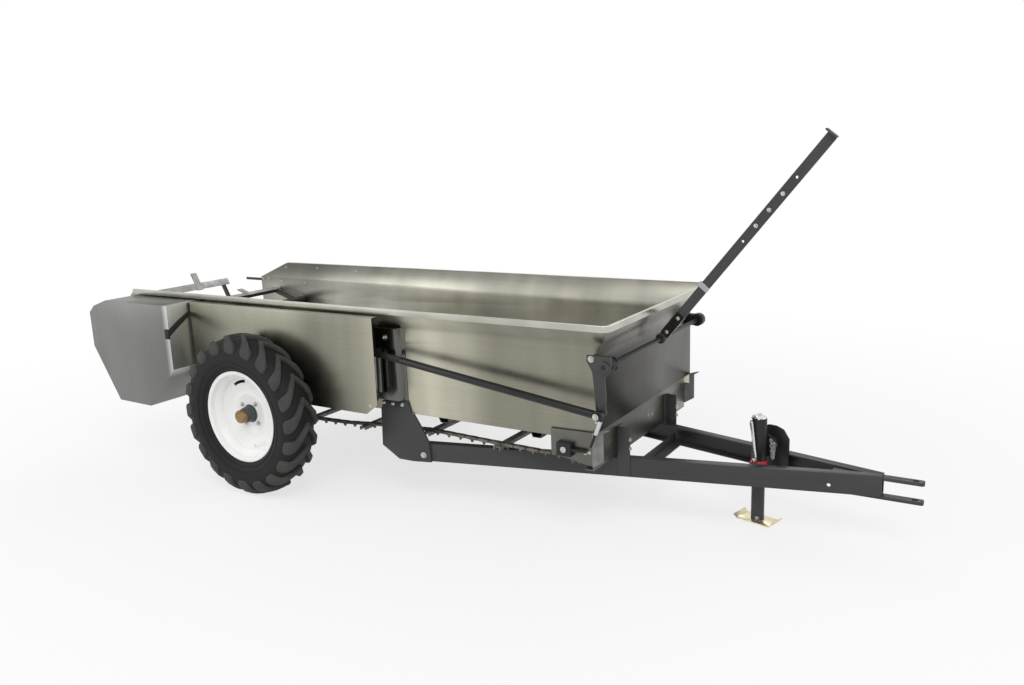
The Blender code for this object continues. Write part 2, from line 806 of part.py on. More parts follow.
def stitch(bm, outer, inner):
    """Fills between two closed rings about the axle whose points go round the same way."""
    def turn(vert, base):
        return (math.atan2(vert.co.z - AXLE_Z, vert.co.x) - base) % (2 * math.pi)

    base = math.atan2(outer[0].co.z - AXLE_Z, outer[0].co.x)
    inner = sorted(inner, key=lambda vert: turn(vert, base))
    i = 0
    j = 0
    while i < len(outer) or j < len(inner):
        a = outer[i % len(outer)]
        b = inner[j % len(inner)]
        next_a = turn(outer[i + 1], base) if i + 1 < len(outer) else 2 * math.pi
        next_b = turn(inner[j + 1], base) if j + 1 < len(inner) else 2 * math.pi + turn(inner[0], base)
        if j == len(inner) or (i < len(outer) and next_a <= next_b):
            bm.faces.new((a, outer[(i + 1) % len(outer)], b))
            i += 1
        else:
            bm.faces.new((a, inner[(j + 1) % len(inner)], b))
            j += 1


# Beater
def beater():
    centre = (BEATER_X, BEATER_Z)
    shaft = rod("y", centre, BEATER_TUBE_R, -0.448, 0.448)
    stub = rod("y", centre, BEATER_SHAFT_R, -DRIVE_Y - 0.015, 0.500)
    boolean(shaft, stub, "UNION")
    boolean(shaft, drive_disc(BEATER_X, BEATER_Z, -1), "UNION")
    bar = [(0.180, -0.018), (BEATER_BAR_R, -0.018), (BEATER_BAR_R, 0.018), (BEATER_BAR_R - 0.005, 0.018),
           (BEATER_BAR_R - 0.005, -0.013), (0.180, -0.013)]
    arm = [(0.020, -0.0155), (0.190, -0.0155), (0.190, 0.012), (0.020, 0.015)]
    for sign, start in ((-1, BEATER_ANGLE), (1, BEATER_ANGLE + BEATER_TILT)):
        for half_turn in range(2):
            angle = math.radians(start + 180 * half_turn)
            turn = Matrix.Rotation(-angle, 4, "Y")
            shift = Matrix.Translation((BEATER_X, 0, BEATER_Z))
            ends = sorted((sign * 0.012, sign * 0.446))
            tools = [prism(bar, "y", *ends)]
            for y in (0.040, 0.418):
                tools.append(prism(arm, "y", *sorted((sign * y, sign * (y + 0.006)))))
            tools.append(block((0.175, BEATER_TIP_R), sorted((sign * 0.192, sign * 0.228)), (-0.020, -0.015)))
            for tool in tools:
                moved(tool, shift @ turn)
                boolean(shaft, tool, "UNION")
    shaft.name = "beater"


def beater_bearing():
    inner = WALL_Y + GAP
    outline = [
        (BEATER_X - 0.05, BEATER_Z - 0.035), (BEATER_X + 0.05, BEATER_Z - 0.035),
        (BEATER_X + 0.05, BEATER_Z + 0.035), (BEATER_X - 0.05, BEATER_Z + 0.035),
    ]
    base = prism(outline, "y", -inner - 0.010, -inner)
    boss = rod("y", (BEATER_X, BEATER_Z), 0.032, -inner - 0.026, -inner - 0.009)
    union("beater_bearing_right", base, boss)
    cut(base, rod("y", (BEATER_X, BEATER_Z), BEATER_SHAFT_R + BORE_GAP, -0.6, -0.4))
    mirrored(base, "beater_bearing_left")


# Shields and hoods
def shield():
    outline = [(SHIELD_REAR, SHIELD_TOP), (SHIELD_REAR, SHIELD_BOTTOM), (SHIELD_FRONT - 0.060, SHIELD_BOTTOM),
               (SHIELD_FRONT, SHIELD_BOTTOM + 0.045), (SHIELD_FRONT, SHIELD_TOP)]
    sheet = prism(outline, "y", -SHIELD_Y, -SHIELD_Y + SHEET)
    top = block(
        (SHIELD_REAR, SHIELD_FRONT), (-SHIELD_Y + 0.0005, -SHIELD_Y + 0.034),
        (SHIELD_TOP - SHEET, SHIELD_TOP),
    )
    arms = []
    for x in (SHIELD_REAR + 0.020, 0.130, SHIELD_FRONT - 0.115):
        arms.append(block((x - 0.012, x + 0.012), (-SHIELD_Y + 0.0010, -WALL_Y - GAP), (0.4285, 0.4335)))
        arms.append(block((x - 0.012, x + 0.012), (-WALL_Y - GAP - 0.003, -WALL_Y - GAP), (0.4290, 0.4600)))
    union("shield_right", sheet, top, *arms)
    mirrored(sheet, "shield_left")


def hood():
    outline = [
        (HOOD_REAR, 0.586), (HOOD_REAR, 0.756), (HOOD_REAR + 0.039, 0.790), (HOOD_REAR + 0.138, HOOD_TOP),
        (HOOD_FRONT, HOOD_TOP), (HOOD_FRONT, 0.520), (HOOD_FRONT - 0.164, 0.337),
        (HOOD_FRONT - 0.201, 0.322), (HOOD_REAR + 0.158, 0.325),
    ]
    shell = prism(outline, "y", -HOOD_Y, -WALL_Y - 0.006)
    inside = closed_offset(outline, -SHEET)
    cut(shell, prism(inside, "y", -HOOD_Y + SHEET, -0.3))
    clear = [
        (-WALL_Y - 0.0055, 0.2), (-WALL_Y - 0.0055, FOLD_Z - 0.002), (-flare_y(RIM_TOP) - 0.009, RIM_TOP),
        (0, RIM_TOP), (0, 0.2),
    ]
    cut(shell, prism(clear, "x", -1.3, 0))
    # Room for the flat bar on the wall behind the rear skirt
    cut(shell, block((HOOD_REAR - 0.01, HOOD_REAR + 0.01), (-WALL_Y - 0.014, -0.3), (0.738, 0.767)))
    # Way in for the drive chain
    cut(shell, block((-0.530, HOOD_FRONT + 0.01), (-DRIVE_Y - 0.022, -0.3), (0.440, 0.612)))
    knuckle = rod("z", (HINGE_X, -HINGE_Y), 0.0065, 0.632, 0.698, 12)
    tab = block((HINGE_X + 0.0045, HOOD_REAR + 0.0015), (-HINGE_Y - 0.006, -HINGE_Y + 0.0015), (0.633, 0.697))
    union("hood_right", shell, knuckle, tab)
    cut(shell, rod("z", (HINGE_X, -HINGE_Y), 0.0035 + BORE_GAP, 0.5, 0.8, 12))
    mirrored(shell, "hood_left")


def hood_hinge():
    """Leaf on the wall with the pin that the hood swings on."""
    face = WALL_Y + GAP
    leaf = block((HINGE_X - 0.032, HINGE_X - 0.0085), (-face - 0.003, -face), (0.600, 0.730))
    parts = [rod("z", (HINGE_X, -HINGE_Y), 0.0035, 0.601, 0.729, 12)]
    for z0, z1 in ((0.600, 0.630), (0.700, 0.730)):
        parts.append(rod("z", (HINGE_X, -HINGE_Y), 0.0065, z0, z1, 12))
        parts.append(block(
            (HINGE_X - 0.010, HINGE_X - 0.001), (-face - 0.0032, -face), (z0 + 0.0005, z1 - 0.0005),
        ))
    union("hood_hinge_right", leaf, *parts)
    mirrored(leaf, "hood_hinge_left")


def latch():
    """Rubber strap across the hood's front face, hooked over its outer corner."""
    face = HOOD_FRONT + GAP
    line = [
        (-0.586, 0.777), (-0.586, 0.757), (-0.640, 0.722), (-0.702, 0.680), (-0.709, 0.690),
        (-0.709, 0.706), (-0.650, 0.744),
    ]
    strap = prism(line, "x", face, face + 0.007)
    hook = block((face - 0.020, face + 0.006), (-HOOD_Y - 0.009, -HOOD_Y - GAP), (0.668, 0.712))
    union("latch_right", strap, hook)
    mirrored(strap, "latch_left")


def rear_stay():
    inner = WALL_Y + GAP
    bar = block((REAR, -0.985), (-inner - 0.004, -inner), (0.745, 0.760), "rear_stay_right")
    mirrored(bar, "rear_stay_left")


# Frame in front of the box
def rail_y(x):
    return WALL_Y - RAIL_SLOPE * (x - RAIL_BEND_X)


def rail_prism(outline, start, end):
    """Solid along the right rail: outline is (distance inward from the rail's outer face, z)."""
    bm = bmesh.new()
    rings = []
    for x in (start, end):
        ring = []
        for d, z in outline:
            ring.append(bm.verts.new((x, -(rail_y(x) - d / math.cos(RAIL_ANGLE)), z)))
        rings.append(ring)
    bm.faces.new(rings[0])
    bm.faces.new(rings[1])
    count = len(outline)
    for i in range(count):
        j = (i + 1) % count
        bm.faces.new((rings[0][i], rings[0][j], rings[1][j], rings[1][i]))
    return place("piece", bm)


def rails():
    top = RAIL_BOTTOM + RAIL_HIGH
    line = [(RAIL_FLANGE, RAIL_BOTTOM), (0.0, RAIL_BOTTOM), (0.0, top), (RAIL_FLANGE, top)]
    rail = rail_prism(strip(line, -RAIL_WALL), RAIL_START, RAIL_END)
    cut(rail, block((2.2, 2.7), (-GAP / 2, 0.1), (0.1, 0.4)))
    # Bolt hole near the hitch end
    hole = rod("y", (2.350, 0.222), 0.007, -0.30, 0.0, 12)
    cut(rail, hole)
    rail.name = "rail_right"
    mirrored(rail, "rail_left")


def bracket():
    inner = WALL_Y + GAP
    bend = RAIL_BEND_X
    end = 0.825
    plan = [(0.560, inner), (bend, inner), (end, inner - RAIL_SLOPE * (end - bend))]
    plate = prism([(x, -y) for x, y in strip(plan, BRACKET_THICK)], "z", 0.150, 0.460)
    outline = [(0.584, 0.404), (0.578, 0.239), (0.667, 0.188), (0.822, 0.190), (0.815, 0.279), (0.790, 0.335),
               (0.757, 0.3975), (RAIL_BEND_X - 0.0005, WALL_BOTTOM - 0.0005), (0.7295, 0.449), (0.602, 0.443)]
    common(plate, prism(outline, "y", -0.6, -0.3))
    plate.name = "bracket_right"
    mirrored(plate, "bracket_left")


def post():
    inner = WALL_Y + GAP
    line = [
        (0.570, inner), (0.590, inner), (0.600, inner + 0.028), (0.700, inner + 0.028), (0.710, inner),
        (0.730, inner),
    ]
    sheet = prism([(x, -y) for x, y in strip(line, SHEET)], "z", 0.4535, FOLD_Z - 0.006, "post_right")
    mirrored(sheet, "post_left")


def upright():
    """Angle iron bolted to the channel's face and to the rail's outer face."""
    face = BOX_FRONT - 0.028 + GAP
    thick = 0.005
    out = rail_y(face) - GAP
    legs = [
        rail_prism(
            [(-GAP, 0.194), (-GAP - thick, 0.194), (-GAP - thick, 0.400), (-GAP, 0.400)],
            face, face + 0.048,
        ),
        block((face, face + thick), (-out - 0.004, -out + 0.036), (0.2695 + 0.002, 0.400)),
    ]
    union("upright_right", *legs)
    mirrored(legs[0], "upright_left")


def cross_brace():
    x0, x1 = 1.640, 1.685
    half = rail_y(x1) - RAIL_WALL * 1.1 - 0.004
    z = RAIL_BOTTOM + RAIL_WALL + GAP
    plan = [(x0, -half), (x1, -half), (x1, half), (x0, half)]
    flat = prism(plan, "z", z, z + 0.006)
    lip = block((x0, x0 + 0.006), (-half, half), (z + 0.001, z + 0.040))
    union("cross_brace", flat, lip)


def hitch_straps():
    half = HITCH_HALF - RAIL_WALL / math.cos(RAIL_ANGLE) - GAP
    ends = []
    for i in range(7):
        angle = math.radians(-90 + 30 * i)
        ends.append((
            FRONT - 0.010 + 0.010 * math.cos(angle),
            (half - 0.010) * (1 if angle > 0 else -1) + 0.010 * math.sin(angle),
        ))
    plan = [(STRAP_REAR, -half), *ends, (STRAP_REAR, half)]
    levels = (
        ("hitch_strap_upper", RAIL_BOTTOM + RAIL_HIGH - RAIL_WALL - GAP - STRAP_THICK),
        ("hitch_strap_lower", RAIL_BOTTOM - GAP - STRAP_THICK),
    )
    for name, z in levels:
        strap = prism(plan, "z", z, z + STRAP_THICK)
        cut(strap, rod("z", (HITCH_HOLE_X, 0), HITCH_HOLE_R, z - 0.1, z + 0.1))
        strap.name = name


# Jack between the rails
def jack_place(obj):
    return moved(obj, Matrix.Translation((JACK_X, JACK_Y, 0)) @ Matrix.Rotation(-RAIL_ANGLE, 4, "Z"))


def jack():
    rail_face = (rail_y(JACK_X) - JACK_Y) * math.cos(RAIL_ANGLE) - RAIL_FLANGE - GAP
    pivot = (0.015, JACK_PIVOT_Z)
    stub_end = JACK_TUBE_R + 0.0065 + GAP
    outline = [
        (-0.055, 0.197), (0.085, 0.197), (0.085, 0.330), (0.060, 0.365), (0.030, 0.375), (0.000, 0.375),
        (-0.030, 0.365), (-0.055, 0.330),
    ]
    plate = prism(outline, "y", rail_face - 0.008, rail_face)
    stub = rod("y", pivot, 0.026, stub_end, rail_face - 0.007)
    jack_place(union("jack_mount", plate, stub))

    tube = turned_z([
        (JACK_LEG_R + BORE_GAP, 0.200), (JACK_TUBE_R, 0.200), (JACK_TUBE_R, JACK_TOP),
        (JACK_LEG_R + BORE_GAP, JACK_TOP),
    ])
    disc = rod("y", pivot, 0.045, JACK_TUBE_R - 0.0015, JACK_TUBE_R + 0.0065)
    cheek = block((-0.020, 0.030), (0.0270, JACK_TUBE_R + 0.001), (0.270, 0.340))
    head = rod("z", (0, 0), JACK_TUBE_R, JACK_TOP - 0.001, JACK_TOP + 0.018)
    jack_place(union("jack_tube", tube, disc, cheek, head))

    collar_profile = [
        (JACK_TUBE_R + GAP, 0.2005), (0.0385, 0.2005), (0.0385, 0.214), (0.0345, 0.240),
        (JACK_TUBE_R + GAP, 0.252),
    ]
    collar = turned_z(collar_profile)
    jack_place(collar).name = "jack_collar"

    y = -JACK_TUBE_R - 0.012
    # The tube turns a flat to the crank
    flat = JACK_TUBE_R * math.cos(math.pi / 12)
    handle = rod("y", (-0.010, JACK_TOP + 0.006), 0.005, y - 0.004, -flat - GAP)
    outline = [
        (-0.014, JACK_TOP + 0.014), (-0.018, JACK_TOP + 0.002), (0.008, 0.262), (0.016, 0.262),
        (-0.005, JACK_TOP + 0.008),
    ]
    bar = prism(outline, "y", y - 0.003, y + 0.003)
    grip = rod("y", (0.012, 0.268), 0.006, y - 0.030, y - 0.002, 12)
    jack_place(union("jack_crank", handle, bar, grip))

    leg = rod("z", (0, 0), JACK_LEG_R, 0.004, 0.262)
    line = [(-0.085, 0.014), (-0.072, 0.0), (0.072, 0.0), (0.085, 0.014)]
    foot = prism(strip(line, 0.005), "y", -0.043, 0.043)
    jack_place(union("jack_leg", leg, foot))


def turned_z(profile, count=12):
    ring = turned([(z, r) for r, z in profile], (0, 0), count)
    # Y of the turned ring becomes Z
    moved(ring, Matrix(((1, 0, 0, 0), (0, 0, 1, 0), (0, 1, 0, 0), (0, 0, 0, 1))))
    ring.data.flip_normals()
    return ring


# Control linkage
def control():
    centre = (CONTROL_X, CONTROL_Z)
    rod("y", centre, CONTROL_R, -0.532, 0.440, name="control_shaft")

    # Bearing on a plate beside the right wall
    inner = WALL_Y + GAP
    outline = [
        (1.560, 0.672), (CONTROL_X + 0.020, 0.672), (CONTROL_X + 0.034, 0.690),
        (CONTROL_X + 0.034, 0.725), (CONTROL_X + 0.014, 0.736), (1.560, 0.736),
    ]
    plate = prism(outline, "y", -inner - 0.008, -inner)
    boss = rod("y", centre, 0.031, -0.502, -inner - 0.007)
    union("control_bearing_right", plate, boss)
    cut(plate, rod("y", centre, CONTROL_R + BORE_GAP, -0.6, -0.4))

    # Bearing block on the front panel at the left
    foot = block((BOX_FRONT + GAP, CONTROL_X), (0.400, 0.434), (0.680, 0.728))
    boss = rod("y", centre, 0.028, 0.400, 0.434)
    union("control_bearing_left", foot, boss)
    cut(foot, rod("y", centre, CONTROL_R + BORE_GAP, 0.3, 0.5))

    # Lever with its collar at the middle of the shaft
    turn = Matrix.Translation((CONTROL_X, 0, CONTROL_Z)) @ Matrix.Rotation(-math.radians(LEVER_ANGLE), 4, "Y")
    collar = rod("y", (0, 0), 0.021, -0.014, 0.014, 16)
    half = LEVER_WIDE / 2
    outline = [
        (0.010, -half * 0.8), (0.050, -half), (LEVER_LONG - 0.008, -half), (LEVER_LONG, -half + 0.008),
        (LEVER_LONG, half - 0.008), (LEVER_LONG - 0.008, half), (0.050, half), (0.010, half * 0.8),
    ]
    flat = prism(outline, "y", -LEVER_THICK / 2, LEVER_THICK / 2)
    cap = block((LEVER_LONG - 0.005, LEVER_LONG + 0.001), (-0.022, 0.010), (-half, half + 0.010))
    union("lever", collar, flat, cap)
    for i in range(5):
        cut(collar, rod("y", (0.510 + 0.075 * i, 0), 0.0055, -0.1, 0.1, 8))
    cut(collar, rod("y", (0, 0), CONTROL_R + GAP, -0.1, 0.1))
    moved(collar, turn)

    # Crank arm clamped on the right end of the shaft
    outline = [
        (1.600, 0.742), (1.600, 0.718), (1.612, 0.700), (1.622, 0.680), (1.630, 0.600), (1.634, 0.535),
        (1.643, 0.514), (1.662, 0.514), (1.671, 0.530), (1.672, 0.600), (1.668, 0.660), (1.690, 0.690),
        (1.696, 0.715), (1.694, 0.742),
    ]
    arm = prism(outline, "y", -CRANK_Y - 0.005, -CRANK_Y + 0.005)
    boss = rod("y", centre, 0.020, -0.5325, -0.509)
    pin = rod("y", (CRANK_PIN_X, CRANK_PIN_Z), 0.006, -LINK_Y - LINK_R - 0.006, -0.480, 12)
    union("crank_arm", arm, boss, pin)
    cut(arm, rod("y", centre, CONTROL_R + GAP, -0.6, -0.4))


def link_rod():
    rise = CRANK_PIN_Z - LINK_REAR_Z
    run = CRANK_PIN_X - LINK_REAR_X
    long = math.hypot(run, rise)
    turn = Matrix.Translation((CRANK_PIN_X, -LINK_Y, CRANK_PIN_Z)) @ Matrix.Rotation(
        math.atan2(rise, -run), 4, "Y",
    )
    y = LINK_R
    tube = rod("x", (0, 0), LINK_R, 0.018, long - 0.150)
    front_eye = rod("y", (0, 0), 0.019, -0.012, 0.012)
    web = block((0.005, 0.040), (-0.010, 0.010), (-0.011, 0.011))
    flat = block((long - 0.170, long - 0.002), (-0.004, 0.004), (-0.013, 0.013))
    rear_eye = rod("y", (long, 0), 0.014, -0.004, 0.004)
    union("link_rod", tube, front_eye, web, flat, rear_eye)
    cut(tube, rod("y", (0, 0), 0.006 + BORE_GAP, -0.1, 0.1, 12))
    moved(tube, turn)


def rear_arm():
    """Engaging arm on the right post; its top works with the rear end of the link rod."""
    y = WALL_Y + GAP + 0.028 + SHEET
    top = (LINK_REAR_X, LINK_REAR_Z)
    low = (REAR_ARM_X, REAR_ARM_Z)
    outline = [
        (low[0] - 0.014, low[1] - 0.010), (low[0] + 0.014, low[1] - 0.010),
        (top[0] + 0.012, top[1] + 0.010), (top[0] - 0.012, top[1] + 0.010),
    ]
    start = y + 0.006
    bar = prism(outline, "y", -start - 0.008, -start)
    union(
        "rear_arm",
        bar,
        rod("y", low, 0.015, -start - 0.008, -start),
        rod("y", top, 0.013, -start - 0.008, -start),
        rod("y", top, 0.006, -LINK_Y + 0.004 + GAP, -start - 0.007, 12),
        rod("y", low, 0.010, -start - 0.001, -y - GAP, 12),
        *spring_pair(low, top, -start - 0.016),
    )


def spring_pair(low, top, y):
    """Two return springs side by side, each drawn as one straight bar, on pins out of the arm."""
    parts = []
    for x in (-0.009, 0.009):
        line = [
            (low[0] + x - 0.0045, low[1]), (low[0] + x + 0.0045, low[1]), (top[0] + x + 0.0045, top[1]),
            (top[0] + x - 0.0045, top[1]),
        ]
        parts.append(prism(line, "y", y - 0.0045, y + 0.0045))
    for x, z in (low, top):
        parts.append(block((x - 0.013, x + 0.013), (y - 0.004, y + 0.012), (z - 0.006, z + 0.006)))
    return parts


def short_link():
    top = Vector((CRANK_PIN_X, CRANK_PIN_Z))
    low = Vector((1.597, 0.388))
    span = (low - top).length
    turn = Matrix.Translation((top.x, -0.494, top.y)) @ Matrix.Rotation(
        math.atan2(-(low.y - top.y), low.x - top.x), 4, "Y",
    )
    eye = rod("y", (0, 0), 0.012, -0.008, 0.008)
    neck = rod("x", (0, 0), 0.006, 0.008, 0.040, 12)
    body = rod("x", (0, 0), 0.0085, 0.038, 0.095, 12)
    tail = rod("x", (0, 0), 0.005, 0.094, span, 12)
    union("short_link", eye, neck, body, tail)
    cut(eye, rod("y", (0, 0), 0.006 + BORE_GAP, -0.1, 0.1, 12))
    moved(eye, turn)


def main():
    clear_scene()
    box_walls()
    box_rim()
    box_floor()
    floor_frame()
    apron()
    apron_shafts()
    drive_chains()
    front_channel()
    take_up()
    rear_bearing()
    axle()
    wheel()
    beater()
    beater_bearing()
    shield()
    hood()
    hood_hinge()
    latch()
    rear_stay()
    rails()
    bracket()
    post()
    upright()
    cross_brace()
    hitch_straps()
    jack()
    control()
    link_rod()
    rear_arm()
    short_link()
    for obj in bpy.context.scene.objects:
        obj.location.x -= CENTRE_X


main()
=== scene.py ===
# %% [markdown]
# The manure spreader in its finished look
#
# The solid model of the machine is loaded first and stays where it is. Every piece built here
# is placed in its metres: +X to the hitch, +Y to the left of travel, +Z up. The box is
# folded stainless sheet, the draw gear black steel, and two lugged tyres stand on white rims.

# %% Load the solid model
import math

import bmesh
import bpy
from mathutils import Matrix, Vector
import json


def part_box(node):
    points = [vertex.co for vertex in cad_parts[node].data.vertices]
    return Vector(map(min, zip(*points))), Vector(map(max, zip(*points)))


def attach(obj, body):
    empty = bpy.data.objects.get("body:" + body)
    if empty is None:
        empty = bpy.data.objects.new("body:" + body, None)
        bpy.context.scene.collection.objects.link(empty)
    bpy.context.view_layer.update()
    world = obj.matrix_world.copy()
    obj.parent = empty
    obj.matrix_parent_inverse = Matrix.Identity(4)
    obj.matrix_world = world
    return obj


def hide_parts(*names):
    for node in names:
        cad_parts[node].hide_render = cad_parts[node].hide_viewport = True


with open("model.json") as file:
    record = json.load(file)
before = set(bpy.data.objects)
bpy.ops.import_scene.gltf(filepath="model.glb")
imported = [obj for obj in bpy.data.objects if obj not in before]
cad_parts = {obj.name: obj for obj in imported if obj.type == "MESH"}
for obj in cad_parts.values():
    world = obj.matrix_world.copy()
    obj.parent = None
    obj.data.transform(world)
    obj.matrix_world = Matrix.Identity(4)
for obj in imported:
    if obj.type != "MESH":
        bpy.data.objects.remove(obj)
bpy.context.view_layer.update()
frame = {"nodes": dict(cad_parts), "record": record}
record = frame["record"]

# %% [markdown]
# Two tables come with the model: the body that each solid moves with, and its finish.
# Reading them here means that neither table has to be typed again further down.

# %% Who moves with what
body_of_node = {}
for body, members in record["behaviour"]["bodies"].items():
    for node in members:
        body_of_node[node] = body
finish_of_node = {row["node"]: row["material_slot"] for row in record["subparts"]}
AXLE_X = -0.7145

# %% [markdown]
# A finish in Blender is a small net of nodes. The same few steps come up in each one, so they
# get short helpers: one makes the material, one adds noise that can be stretched along an axis,
# one turns a grey pattern into two colours, and one turns a pattern into bumps.

# %% Helpers for finishes
def new_finish(name, colour, metal, rough, gloss=0.5):
    material = bpy.data.materials.new(name)
    material.use_nodes = True
    shader = material.node_tree.nodes["Principled BSDF"]
    shader.inputs["Base Color"].default_value = (*colour, 1)
    shader.inputs["Metallic"].default_value = metal
    shader.inputs["Roughness"].default_value = rough
    shader.inputs["Specular IOR Level"].default_value = gloss
    return material


def noise_of(material, scale, stretch=(1, 1, 1), detail=4.0, rough=0.55, shift=(0, 0, 0)):
    nodes, links = material.node_tree.nodes, material.node_tree.links
    place = nodes.new("ShaderNodeTexCoord")
    mapping = nodes.new("ShaderNodeMapping")
    mapping.inputs["Scale"].default_value = stretch
    mapping.inputs["Location"].default_value = shift
    noise = nodes.new("ShaderNodeTexNoise")
    noise.inputs["Scale"].default_value = scale
    noise.inputs["Detail"].default_value = detail
    noise.inputs["Roughness"].default_value = rough
    links.new(place.outputs["Object"], mapping.inputs["Vector"])
    links.new(mapping.outputs["Vector"], noise.inputs["Vector"])
    return noise.outputs["Fac"]


def ramp_of(material, value, stops):
    ramp = material.node_tree.nodes.new("ShaderNodeValToRGB")
    while len(ramp.color_ramp.elements) < len(stops):
        ramp.color_ramp.elements.new(0.5)
    for element, (position, colour) in zip(ramp.color_ramp.elements, stops):
        element.position = position
        element.color = (*colour, 1)
    material.node_tree.links.new(value, ramp.inputs["Fac"])
    return ramp.outputs["Color"]


def grey(value):
    return (value, value, value)


def mix_of(material, factor, one, two, blend="MIX"):
    mix = material.node_tree.nodes.new("ShaderNodeMix")
    mix.data_type = "RGBA"
    mix.blend_type = blend
    for socket, value in ((mix.inputs[0], factor), (mix.inputs[6], one), (mix.inputs[7], two)):
        if isinstance(value, (int, float)):
            socket.default_value = value
        elif isinstance(value, tuple):
            socket.default_value = (*value, 1)
        else:
            material.node_tree.links.new(value, socket)
    return mix.outputs[2]


def plug_in(material, value, socket):
    shader = material.node_tree.nodes["Principled BSDF"]
    material.node_tree.links.new(value, shader.inputs[socket])


def dull_in_patches(material, pattern, stops):
    """Roughness that follows a pattern; stops are (value of the pattern, roughness)."""
    greys = [(at, grey(rough)) for at, rough in stops]
    plug_in(material, ramp_of(material, pattern, greys), "Roughness")


def bump_of(material, value, strength, distance):
    bump = material.node_tree.nodes.new("ShaderNodeBump")
    bump.inputs["Strength"].default_value = strength
    bump.inputs["Distance"].default_value = distance
    material.node_tree.links.new(value, bump.inputs["Height"])
    plug_in(material, bump.outputs["Normal"], "Normal")


# %% [markdown]
# Mill-finished stainless sheet is warm grey. The rolls leave fine lines along the sheet, and
# handling leaves broad cloudy patches that change how blurred the reflections are. One noise
# is drawn out along X for the lines; another, tall and soft, paints upright streaks of reflection
# into the colour of the walls. The sheets also get painted light and shade along their length:
# a ramp along one axis, given in metres, makes a sheet lighter or darker where the light falls.

# %% Stainless sheet
def painted_light_along(material, axis, stops):
    """Painted light and shade along one axis; stops are (metres, share of the tint)."""
    nodes, links = material.node_tree.nodes, material.node_tree.links
    place = nodes.new("ShaderNodeTexCoord")
    split = nodes.new("ShaderNodeSeparateXYZ")
    span = nodes.new("ShaderNodeMapRange")
    first, last = stops[0][0], stops[-1][0]
    span.inputs["From Min"].default_value = first
    span.inputs["From Max"].default_value = last
    links.new(place.outputs["Object"], split.inputs[0])
    links.new(split.outputs["xyz".index(axis)], span.inputs["Value"])
    return ramp_of(material, span.outputs["Result"],
                   [((at - first) / (last - first), grey(tone)) for at, tone in stops])


def stainless_finish(name, along, tint, rough=0.30, streak_depth=0.2, painted_light=()):
    material = new_finish(name, tint, 1.0, rough)
    lines = {"x": (2.0, 90, 620), "y": (90, 2.0, 620), "z": (200, 200, 2.0)}[along]
    fine = noise_of(material, 1.0, lines, 3.0)
    # Tall soft noise for the painted streaks of reflection in the colour
    painted_streaks = noise_of(material, 1.0, (5.5, 5.5, 0.55), 2.5, 0.5, (0.7, 0.2, 0.4))
    smear = noise_of(material, 2.4, (1, 1, 0.8), 6.0, 0.6, (2.1, 0.4, 1.3))
    # The colour runs darker and lighter over the painted streaks of reflection
    dark = tuple((1 - streak_depth) * c for c in tint)
    light = tuple((1 + streak_depth) * c for c in tint)
    base = ramp_of(material, painted_streaks, [(0.32, dark), (0.50, tint), (0.66, light)])
    lined = ramp_of(material, fine, [(0.25, grey(0.84)), (0.75, grey(1.0))])
    tone = mix_of(material, 1.0, base, lined, "MULTIPLY")
    # Painted light and shade: the colour is made lighter or darker along the sheet's axes
    for axis, stops in painted_light:
        tone = mix_of(material, 1.0, tone, painted_light_along(material, axis, stops), "MULTIPLY")
    plug_in(material, tone, "Base Color")
    dull_in_patches(material, smear, [(0.30, rough - 0.06), (0.72, rough + 0.14)])
    bump_of(material, fine, 0.15, 0.0006)
    return material


def from_axle(stops):
    return [(AXLE_X + x, tone) for x, tone in stops]


# Painted light and shade on the sheets: an axis, and the share of the tint at places along it
# Near wall: a painted band of light across it ahead of the axle, darker stretches either side
WALL_PAINTED_LIGHT = ("x", from_axle([
    (-1.10, 0.50), (-0.25, 0.60), (0.10, 0.50), (0.36, 0.40),
    (0.60, 0.50), (0.86, 1.00), (1.14, 0.50), (1.62, 0.42),
]))
# Front panel: painted light, lighter to the left; painted shade on all of it below the rim
FRONT_PAINTED_LIGHT = (
    ("y", [(-0.47, 0.53), (0.0, 0.55), (0.25, 0.95), (0.47, 1.0)]),
    ("z", [(0.28, 0.14), (0.70, 0.24), (0.75, 1.0), (0.86, 1.0)]),
)
# Channel: painted light, lighter to the left
CHANNEL_PAINTED_LIGHT = ("y", [(-0.47, 0.45), (0.10, 0.50), (0.47, 1.0)])
# Far wall: painted light, lighter below the flare and towards the front
FAR_PAINTED_LIGHT = (
    ("z", [(0.39, 1.0), (0.72, 1.0), (0.775, 0.56), (0.86, 0.56)]),
    ("x", from_axle([(-1.10, 0.42), (-0.72, 0.40), (-0.30, 0.80), (0.0, 1.0)])),
)
# Hood: a painted highlight on its front face, far lighter than its side
HOOD_PAINTED_LIGHT = ("x", from_axle([(-1.06, 0.26), (-0.50, 0.225), (-0.468, 0.62), (-0.46, 0.66)]))
